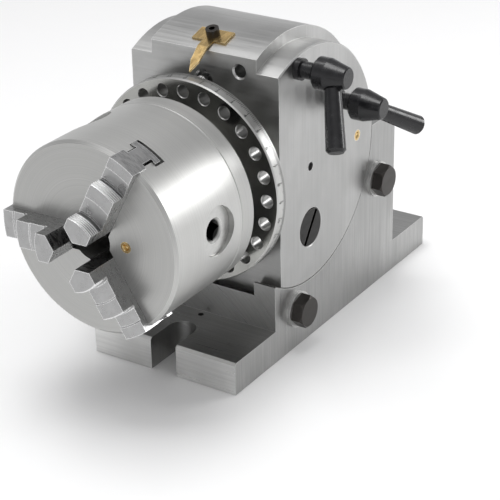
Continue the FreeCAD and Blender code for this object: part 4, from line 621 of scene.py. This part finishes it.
def new_piece(name, mesh, material, body):
    """Puts a mesh into the scene as a piece that rides on a body."""
    piece = bpy.data.objects.new(name, mesh)
    bpy.context.scene.collection.objects.link(piece)
    mesh.materials.clear()
    mesh.materials.append(material)
    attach(piece, body)
    return piece


def mesh_from(builder, name):
    mesh = bpy.data.meshes.new(name)
    builder.normal_update()
    builder.to_mesh(mesh)
    builder.free()
    return mesh


def add_curved_mark(builder, radius, angle, half_angle, y_from, y_to, thick):
    """One engraved line, as a thin raised strip on a cylinder about the spindle."""
    corners = []
    for reach in (radius - thick, radius + thick):
        for turn in (angle - half_angle, angle + half_angle):
            for y in (y_from, y_to):
                corners.append(builder.verts.new((reach * math.sin(turn), y,
                                                  SPINDLE_HEIGHT + reach * math.cos(turn))))
    low, high = corners[:4], corners[4:]
    builder.faces.new((high[0], high[1], high[3], high[2]))
    for first, second in ((0, 1), (1, 3), (3, 2), (2, 0)):
        builder.faces.new((low[first], low[second], high[second], high[first]))


def add_ridge(builder, radius, y, turn_from, turn_to, steps=10):
    """One ridge of a jaw's grip, as an arc about the spindle."""
    outline = ((-GRIP_ROOT, -GRIP_FOOT), (GRIP_HEIGHT, -GRIP_CREST), (GRIP_HEIGHT, GRIP_CREST),
               (-GRIP_ROOT, GRIP_FOOT))
    rings = []
    for step in range(steps + 1):
        turn = turn_from + (turn_to - turn_from) * step / steps
        rings.append([builder.verts.new(((radius + out) * math.sin(turn), y + along,
                                         SPINDLE_HEIGHT + (radius + out) * math.cos(turn)))
                      for out, along in outline])
    for first, second in zip(rings, rings[1:]):
        for corner in range(4):
            after = (corner + 1) % 4
            builder.faces.new((first[corner], second[corner], second[after], first[after]))
    builder.faces.new(rings[0])
    builder.faces.new(list(reversed(rings[-1])))


def figure_mesh(text, height):
    """Flat mesh of a short figure, centred on the origin in X and standing on it in Y."""
    curve = bpy.data.curves.new("figure", "FONT")
    curve.body = text
    curve.size = height * FONT_SIZE_PER_HEIGHT
    curve.align_x = "CENTER"
    curve.resolution_u = 3
    curve.offset = height * FONT_WEIGHT
    carrier = bpy.data.objects.new("figure", curve)
    bpy.context.scene.collection.objects.link(carrier)
    bpy.context.view_layer.update()
    mesh = bpy.data.meshes.new_from_object(carrier)
    bpy.data.objects.remove(carrier)
    bpy.data.curves.remove(curve)
    return mesh


def add_figure(builder, text, height, to_place):
    """Adds the figure to the builder, each corner put where to_place sends its flat (x, y)."""
    flat = figure_mesh(text, height)
    corners = [builder.verts.new(to_place(corner.co.x, corner.co.y)) for corner in flat.vertices]
    for face in flat.polygons:
        builder.faces.new([corners[place] for place in face.vertices])
    bpy.data.meshes.remove(flat)


def add_thread(builder, centre, axis, radius, depth, pitch, length, steps=20):
    """Helical ridge of a screw thread on a rod, starting at centre and running along axis."""
    along = Vector(axis).normalized()
    side = along.orthogonal().normalized()
    other = along.cross(side)
    turns = length / pitch
    count = max(2, int(turns * steps))
    rings = []
    for step in range(count + 1):
        travel = length * step / count
        turn = 2 * math.pi * turns * step / count
        outward = side * math.cos(turn) + other * math.sin(turn)
        middle = Vector(centre) + along * travel
        inner = radius - depth
        rings.append([builder.verts.new(middle + outward * inner - along * pitch * THREAD_FLANK_SHARE),
                      builder.verts.new(middle + outward * radius - along * pitch * THREAD_CREST_SHARE),
                      builder.verts.new(middle + outward * radius + along * pitch * THREAD_CREST_SHARE),
                      builder.verts.new(middle + outward * inner + along * pitch * THREAD_FLANK_SHARE)])
    for first, second in zip(rings, rings[1:]):
        for corner in range(3):
            builder.faces.new((first[corner], first[corner + 1], second[corner + 1], second[corner]))
    builder.faces.new(rings[0])
    builder.faces.new(list(reversed(rings[-1])))


# Operators
class HEAD_OT_ground_iron(bpy.types.Operator):
    """Ground iron on the housing, the base and the worm carrier"""
    bl_idname = "head.ground_iron"
    bl_label = "Ground iron"

    def execute(self, context):
        finish = context.scene.head_finish
        edge = finish.worn_edge
        dress(ground_iron("ground housing", finish.iron, edge), ["swivel_housing"])
        dress(milled_iron("milled base", shade_of(finish.iron, 0.92), edge), ["base"])
        dress(ground_iron("turned carrier", shade_of(finish.iron, 0.95), edge), ["eccentric_sleeve"])
        return {"FINISHED"}


class HEAD_OT_spindle_steel(bpy.types.Operator):
    """Turned steel on the spindle and its bearings, with bronze bushes and wheel"""
    bl_idname = "head.spindle_steel"
    bl_label = "Spindle and worm drive"

    def execute(self, context):
        finish = context.scene.head_finish
        edge = finish.worn_edge
        dress(turned_steel("turned spindle", shade_of(finish.steel, 0.9), edge),
              ["spindle", "thrust_washer", "wheel_nut"])
        bronze = brass_finish("bearing bronze", BRONZE, edge, roughness=0.32)
        dress(bronze, ["front_bush", "rear_bush", "worm_bush", "lock_shoe", "worm_wheel"])
        dress(plain_steel("cut gear steel", GEAR_STEEL, edge),
              ["worm_shaft", "chuck_scroll"])
        dress(plain_steel("bright small steel", SMALL_STEEL, edge, roughness=0.28),
              ["wheel_key", "crank_key", "scroll_cover", "sector_arm_leading",
               "sector_arm_trailing", "plunger_housing", "index_plunger", "index_pin"])
        dress(plain_steel("washer steel", WASHER_STEEL, edge * 0.6, roughness=0.42, grain=120.0),
              ["clamp_washers"])
        return {"FINISHED"}


class HEAD_OT_index_plate(bpy.types.Operator):
    """Darker face, light rim and holes with painted shade on the direct index plate, and dark steel on the
    dividing plate
    """
    bl_idname = "head.index_plate"
    bl_label = "Index plates"

    def execute(self, context):
        finish = context.scene.head_finish
        plate = index_plate_finish("index plate", shade_of(finish.steel, 0.98), PLATE_FACE,
                                   finish.worn_edge)
        dress(plate, ["direct_index_plate"])
        dress(plain_steel("dark plate steel", DIVIDING_PLATE_STEEL, finish.worn_edge, roughness=0.30),
              ["dividing_plate"])
        return {"FINISHED"}


class HEAD_OT_chuck(bpy.types.Operator):
    """Fine ground steel on the chuck and hardened steel on its jaws"""
    bl_idname = "head.chuck"
    bl_label = "Chuck"

    def execute(self, context):
        finish = context.scene.head_finish
        edge = finish.worn_edge
        # The chuck's front face is painted 0.84 times as dark as its side: painted shade
        dress(turned_steel("ground chuck", finish.steel, edge, rings=1500.0, roughness=0.38, strength=0.06,
                           face_shade=0.84, edge_tone=1.15), ["chuck_body"])
        dress(turned_steel("turned back plate", shade_of(finish.steel, 0.93), edge, rings=900.0,
                           roughness=0.42, edge_tone=1.1), ["chuck_backplate"])
        # The pinions' key sockets get painted shade below their face
        dress(plain_steel("pinion steel", shade_of(finish.steel, 1.02), edge, roughness=0.36, grain=600.0,
                          dark_below=PINION_FACE_RADIUS - PINION_LIT_DEPTH),
              ["chuck_pinion_1", "chuck_pinion_2", "chuck_pinion_3"])
        # The jaws' edges are 2.4 times as light as their colour: part wear, part painted highlight
        jaw_steel = plain_steel("hardened jaws", finish.jaw_steel, edge * 1.5, roughness=0.28, grain=700.0,
                                stretch=(0.3, 1.0, 0.3), edge_tone=2.4)
        dress(jaw_steel, ["chuck_jaw_1", "chuck_jaw_2", "chuck_jaw_3"])
        # The ridges are 2.1 times as light as the jaws: painted highlight on the grips
        grip_highlight_steel = plain_steel("grips with painted highlight", shade_of(finish.jaw_steel, 2.1), edge * 0.2,
                                 roughness=0.34, grain=60.0)
        for number in (1, 2, 3):
            self.serrations(number, grip_highlight_steel)
        return {"FINISHED"}

    def serrations(self, number, steel):
        """Ridges across the two outward walls of a jaw's steps."""
        builder = bmesh.new()
        middle = math.radians(JAW_PHASE + JAW_SPACING * (number - 1))
        for radius, top in ((JAW_STEP_RADII[0], JAW_TOP), (JAW_STEP_RADII[1], JAW_MIDDLE)):
            half_turn = math.asin(JAW_HALF_WIDTH / radius)
            for ridge in range(GRIP_RIDGES):
                y = top + GRIP_START + GRIP_PITCH * ridge
                add_ridge(builder, radius, y, middle - half_turn, middle + half_turn)
        new_piece(f"jaw_{number}_grips", mesh_from(builder, f"jaw_{number}_grips"), steel, f"jaw_{number}")


class HEAD_OT_black_parts(bpy.types.Operator):
    """Black oxide on the levers, the crank and the screws, and bright brass on the small pieces"""
    bl_idname = "head.black_parts"
    bl_label = "Levers, screws and brass"

    def execute(self, context):
        finish = context.scene.head_finish
        edge = finish.worn_edge
        dress(black_oxide("black levers", finish.black, edge, roughness=0.20),
              ["index_lever_hub", "index_lever_handle", "index_lever_shaft", "lock_lever_hub",
               "lock_lever_handle", "lock_lever_shaft"])
        dress(black_oxide("black screws", shade_of(finish.black, 1.4), edge, roughness=0.32),
              ["rear_nut", "sleeve_lock_screw", "centre_screw", "index_plate_screws", "chuck_screws",
               "plate_screws", "crank_arm"])
        dress(plain_steel("dark fasteners", FASTENER_STEEL, edge, roughness=0.34),
              ["clamp_bolts", "clamp_nuts", "pointer_screw", "cover_screws", "pinion_pins", "crank_nut",
               "plunger_nut", "sector_spring"])
        # The plug's edges are five times as light as its colour: part wear, part painted highlight
        dress(plain_steel("slotted plug", PLUG_STEEL, edge, roughness=0.36, edge_tone=5.0),
              ["worm_end_plug"])
        dress(brass_finish("machined brass", finish.brass, edge),
              ["pointer", "housing_oiler", "chuck_oiler"])
        dress(moulded_black("moulded knob"), ["plunger_knob"])
        return {"FINISHED"}


class HEAD_OT_degree_scale(bpy.types.Operator):
    """Degree lines and figures engraved around the rim of the direct index plate"""
    bl_idname = "head.degree_scale"
    bl_label = "Degree scale"

    def execute(self, context):
        scale = context.scene.head_scale
        mark = filled_mark("filled scale")
        lines = bmesh.new()
        back = plate_high.y - SCALE_INSET
        half_angle = scale.line_width / PLATE_RADIUS / 2
        for degree in range(360):
            length = scale.short_line
            if degree % 10 == 0:
                length = scale.long_line
            elif degree % 5 == 0:
                length = scale.middle_line
            add_curved_mark(lines, PLATE_RADIUS, math.radians(degree), half_angle, back - length, back,
                            MARK_THICKNESS)
        new_piece("scale_lines", mesh_from(lines, "scale_lines"), mark, "spindle")
        figures = bmesh.new()
        foot = plate_low.y + FIGURE_FOOT
        for degree in range(0, 360, 10):
            start = math.radians(degree)

            def on_rim(x, y, start=start):
                turn = start + x / PLATE_RADIUS
                reach = PLATE_RADIUS + FIGURE_LIFT
                return (reach * math.sin(turn), foot + y, SPINDLE_HEIGHT + reach * math.cos(turn))

            add_figure(figures, str(degree // 10), scale.figure_height, on_rim)
        new_piece("scale_figures", mesh_from(figures, "scale_figures"), mark, "spindle")
        return {"FINISHED"}


class HEAD_OT_plate_figures(bpy.types.Operator):
    """Hole counts stamped beside each circle of the dividing plate"""
    bl_idname = "head.plate_figures"
    bl_label = "Dividing plate figures"

    def execute(self, context):
        mark = filled_mark("filled figures")
        figures = bmesh.new()
        face = dividing_low.x - MARK_THICKNESS
        for radius, count in HOLE_CIRCLES:
            half_step = math.radians(180.0 / count)

            def on_face(x, y, radius=radius * MM, turn=half_step):
                out = radius + COUNT_FOOT + y
                along = -x
                return (face, out * math.sin(turn) + along * math.cos(turn),
                        WORM_HEIGHT + out * math.cos(turn) - along * math.sin(turn))

            add_figure(figures, str(count), COUNT_HEIGHT, on_face)
        new_piece("plate_figures", mesh_from(figures, "plate_figures"), mark, "worm_carrier")
        return {"FINISHED"}


class HEAD_OT_threads(bpy.types.Operator):
    """Screw threads on the ends of the clamp bolts"""
    bl_idname = "head.threads"
    bl_label = "Screw threads"

    def execute(self, context):
        finish = context.scene.head_finish
        steel = plain_steel("threaded steel", THREAD_STEEL, finish.worn_edge)
        nut_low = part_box("clamp_nuts")[0]
        bolt_low, bolt_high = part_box("clamp_bolts")
        bolts = bmesh.new()
        start = bolt_low.x + BOLT_END_CHAMFER
        length = nut_low.x - bolt_low.x - BOLT_THREAD_RUN_OUT
        for y, z in ((bolt_low.y + BOLT_CORNER, bolt_low.z + BOLT_CORNER),
                     (bolt_high.y - BOLT_CORNER, bolt_high.z - BOLT_CORNER)):
            add_thread(bolts, (start, y, z), (1, 0, 0), BOLT_THREAD_RADIUS, BOLT_THREAD_DEPTH,
                       BOLT_THREAD_PITCH, length)
        new_piece("bolt_threads", mesh_from(bolts, "bolt_threads"), steel, "base")
        return {"FINISHED"}


class HEAD_OT_stage(bpy.types.Operator):
    """Pale floor, soft surround, lights and camera"""
    bl_idname = "head.stage"
    bl_label = "Studio"

    def execute(self, context):
        studio = context.scene.head_studio
        self.floor(context, studio)
        self.surround(context, studio)
        self.light("overhead key", *KEY_LAMP, studio.key_power)
        self.light("lever side", *SIDE_LAMP, studio.side_power)
        self.camera(context)
        context.scene.view_settings.view_transform = "Standard"
        return {"FINISHED"}

    def floor(self, context, studio):
        half = FLOOR_HALF
        builder = bmesh.new()
        corners = [builder.verts.new((x, y, -FLOOR_DROP)) for x, y in
                   ((-half, -half), (half, -half), (half, half), (-half, half))]
        builder.faces.new(corners)
        mesh = mesh_from(builder, "studio_floor")
        floor = bpy.data.objects.new("studio_floor", mesh)
        context.scene.collection.objects.link(floor)
        material, tree, shader = start_material("pale floor", metallic=0.0, roughness=0.75)
        place = object_place(tree)
        speck = noise_node(tree, place.outputs["Object"], scale=40.0, detail=3.0)
        tree.links.new(mix_node(tree, speck, shade_of(studio.floor, 0.99), studio.floor),
                       shader.inputs["Base Color"])
        mesh.materials.append(material)

    def surround(self, context, studio):
        world = bpy.data.worlds.new("soft surround")
        context.scene.world = world
        world.use_nodes = True
        tree = world.node_tree
        tree.nodes.clear()
        out = tree.nodes.new("ShaderNodeOutputWorld")
        seen = tree.nodes.new("ShaderNodeBackground")
        seen.inputs["Color"].default_value = (1.0, 1.0, 1.0, 1.0)
        seen.inputs["Strength"].default_value = 1.0
        soft = tree.nodes.new("ShaderNodeBackground")
        soft.inputs["Strength"].default_value = studio.sky
        coordinates = tree.nodes.new("ShaderNodeTexCoord")
        split = tree.nodes.new("ShaderNodeSeparateXYZ")
        tree.links.new(coordinates.outputs["Generated"], split.inputs[0])
        ramp = tree.nodes.new("ShaderNodeValToRGB")
        ramp.color_ramp.elements[0].position = 0.0
        ramp.color_ramp.elements[0].color = (SURROUND_LOWEST, SURROUND_LOWEST, SURROUND_LOWEST, 1.0)
        ramp.color_ramp.elements[1].position = 1.0
        ramp.color_ramp.elements[1].color = (1.0, 1.0, 1.0, 1.0)
        for position, level in SURROUND_LEVELS:
            stop = ramp.color_ramp.elements.new(position)
            stop.color = (level, level, level * SURROUND_BLUE, 1.0)
        tree.links.new(range_node(tree, split.outputs["Z"], SURROUND_START, 1.0, 0.0, 1.0), ramp.inputs[0])
        tree.links.new(ramp.outputs[0], soft.inputs["Color"])
        mixer = tree.nodes.new("ShaderNodeMixShader")
        path = tree.nodes.new("ShaderNodeLightPath")
        tree.links.new(path.outputs["Is Camera Ray"], mixer.inputs[0])
        tree.links.new(soft.outputs[0], mixer.inputs[1])
        tree.links.new(seen.outputs[0], mixer.inputs[2])
        tree.links.new(mixer.outputs[0], out.inputs[0])

    def light(self, name, place, target, width, height, power):
        lamp = bpy.data.lights.new(name, "AREA")
        lamp.shape = "RECTANGLE"
        lamp.size = width
        lamp.size_y = height
        lamp.energy = power
        lamp_object = bpy.data.objects.new(name, lamp)
        lamp_object.location = place
        lamp_object.rotation_euler = (Vector(target) - Vector(place)).to_track_quat("-Z", "Y").to_euler()
        bpy.context.scene.collection.objects.link(lamp_object)

    def camera(self, context):
        lens = bpy.data.cameras.new("view camera")
        lens.lens = CAMERA_LENS
        lens.sensor_fit = "HORIZONTAL"
        lens.sensor_width = SENSOR_WIDTH
        lens.clip_start = CAMERA_NEAR
        lens.clip_end = CAMERA_FAR
        camera = bpy.data.objects.new("view camera", lens)
        right = CAMERA_RIGHT.normalized()
        up = (CAMERA_UP - right * CAMERA_UP.dot(right)).normalized()
        back = right.cross(up)
        turn = Matrix((right, up, back)).transposed().to_4x4()
        camera.matrix_world = Matrix.Translation(CAMERA_PLACE) @ turn
        context.scene.collection.objects.link(camera)
        context.scene.camera = camera


OPERATORS = (HEAD_OT_ground_iron, HEAD_OT_spindle_steel, HEAD_OT_index_plate, HEAD_OT_chuck,
             HEAD_OT_black_parts, HEAD_OT_degree_scale, HEAD_OT_plate_figures, HEAD_OT_threads,
             HEAD_OT_stage)
SETTINGS = (("head_finish", FinishSettings), ("head_scale", ScaleSettings), ("head_studio", StudioSettings))


class HEAD_PT_panel(bpy.types.Panel):
    """Lists the pieces of the dividing head's looks"""
    bl_idname = "HEAD_PT_panel"
    bl_label = "Dividing head"
    bl_space_type = "VIEW_3D"
    bl_region_type = "UI"
    bl_category = "Dividing head"

    def draw(self, context):
        for operator in OPERATORS:
            self.layout.operator(operator.bl_idname)
        for name, group in SETTINGS:
            box = self.layout.box()
            settings = getattr(context.scene, name)
            for label in group.__annotations__:
                box.prop(settings, label)


def register():
    for name, group in SETTINGS:
        bpy.utils.register_class(group)
        setattr(bpy.types.Scene, name, bpy.props.PointerProperty(type=group))
    for operator in OPERATORS:
        bpy.utils.register_class(operator)
    bpy.utils.register_class(HEAD_PT_panel)


def unregister():
    bpy.utils.unregister_class(HEAD_PT_panel)
    for operator in reversed(OPERATORS):
        bpy.utils.unregister_class(operator)
    for name, group in reversed(SETTINGS):
        delattr(bpy.types.Scene, name)
        bpy.utils.unregister_class(group)


def main():
    register()
    for operator in OPERATORS:
        area, call = operator.bl_idname.split(".")
        getattr(getattr(bpy.ops, area), call)()


if __name__ == "__main__":
    main()
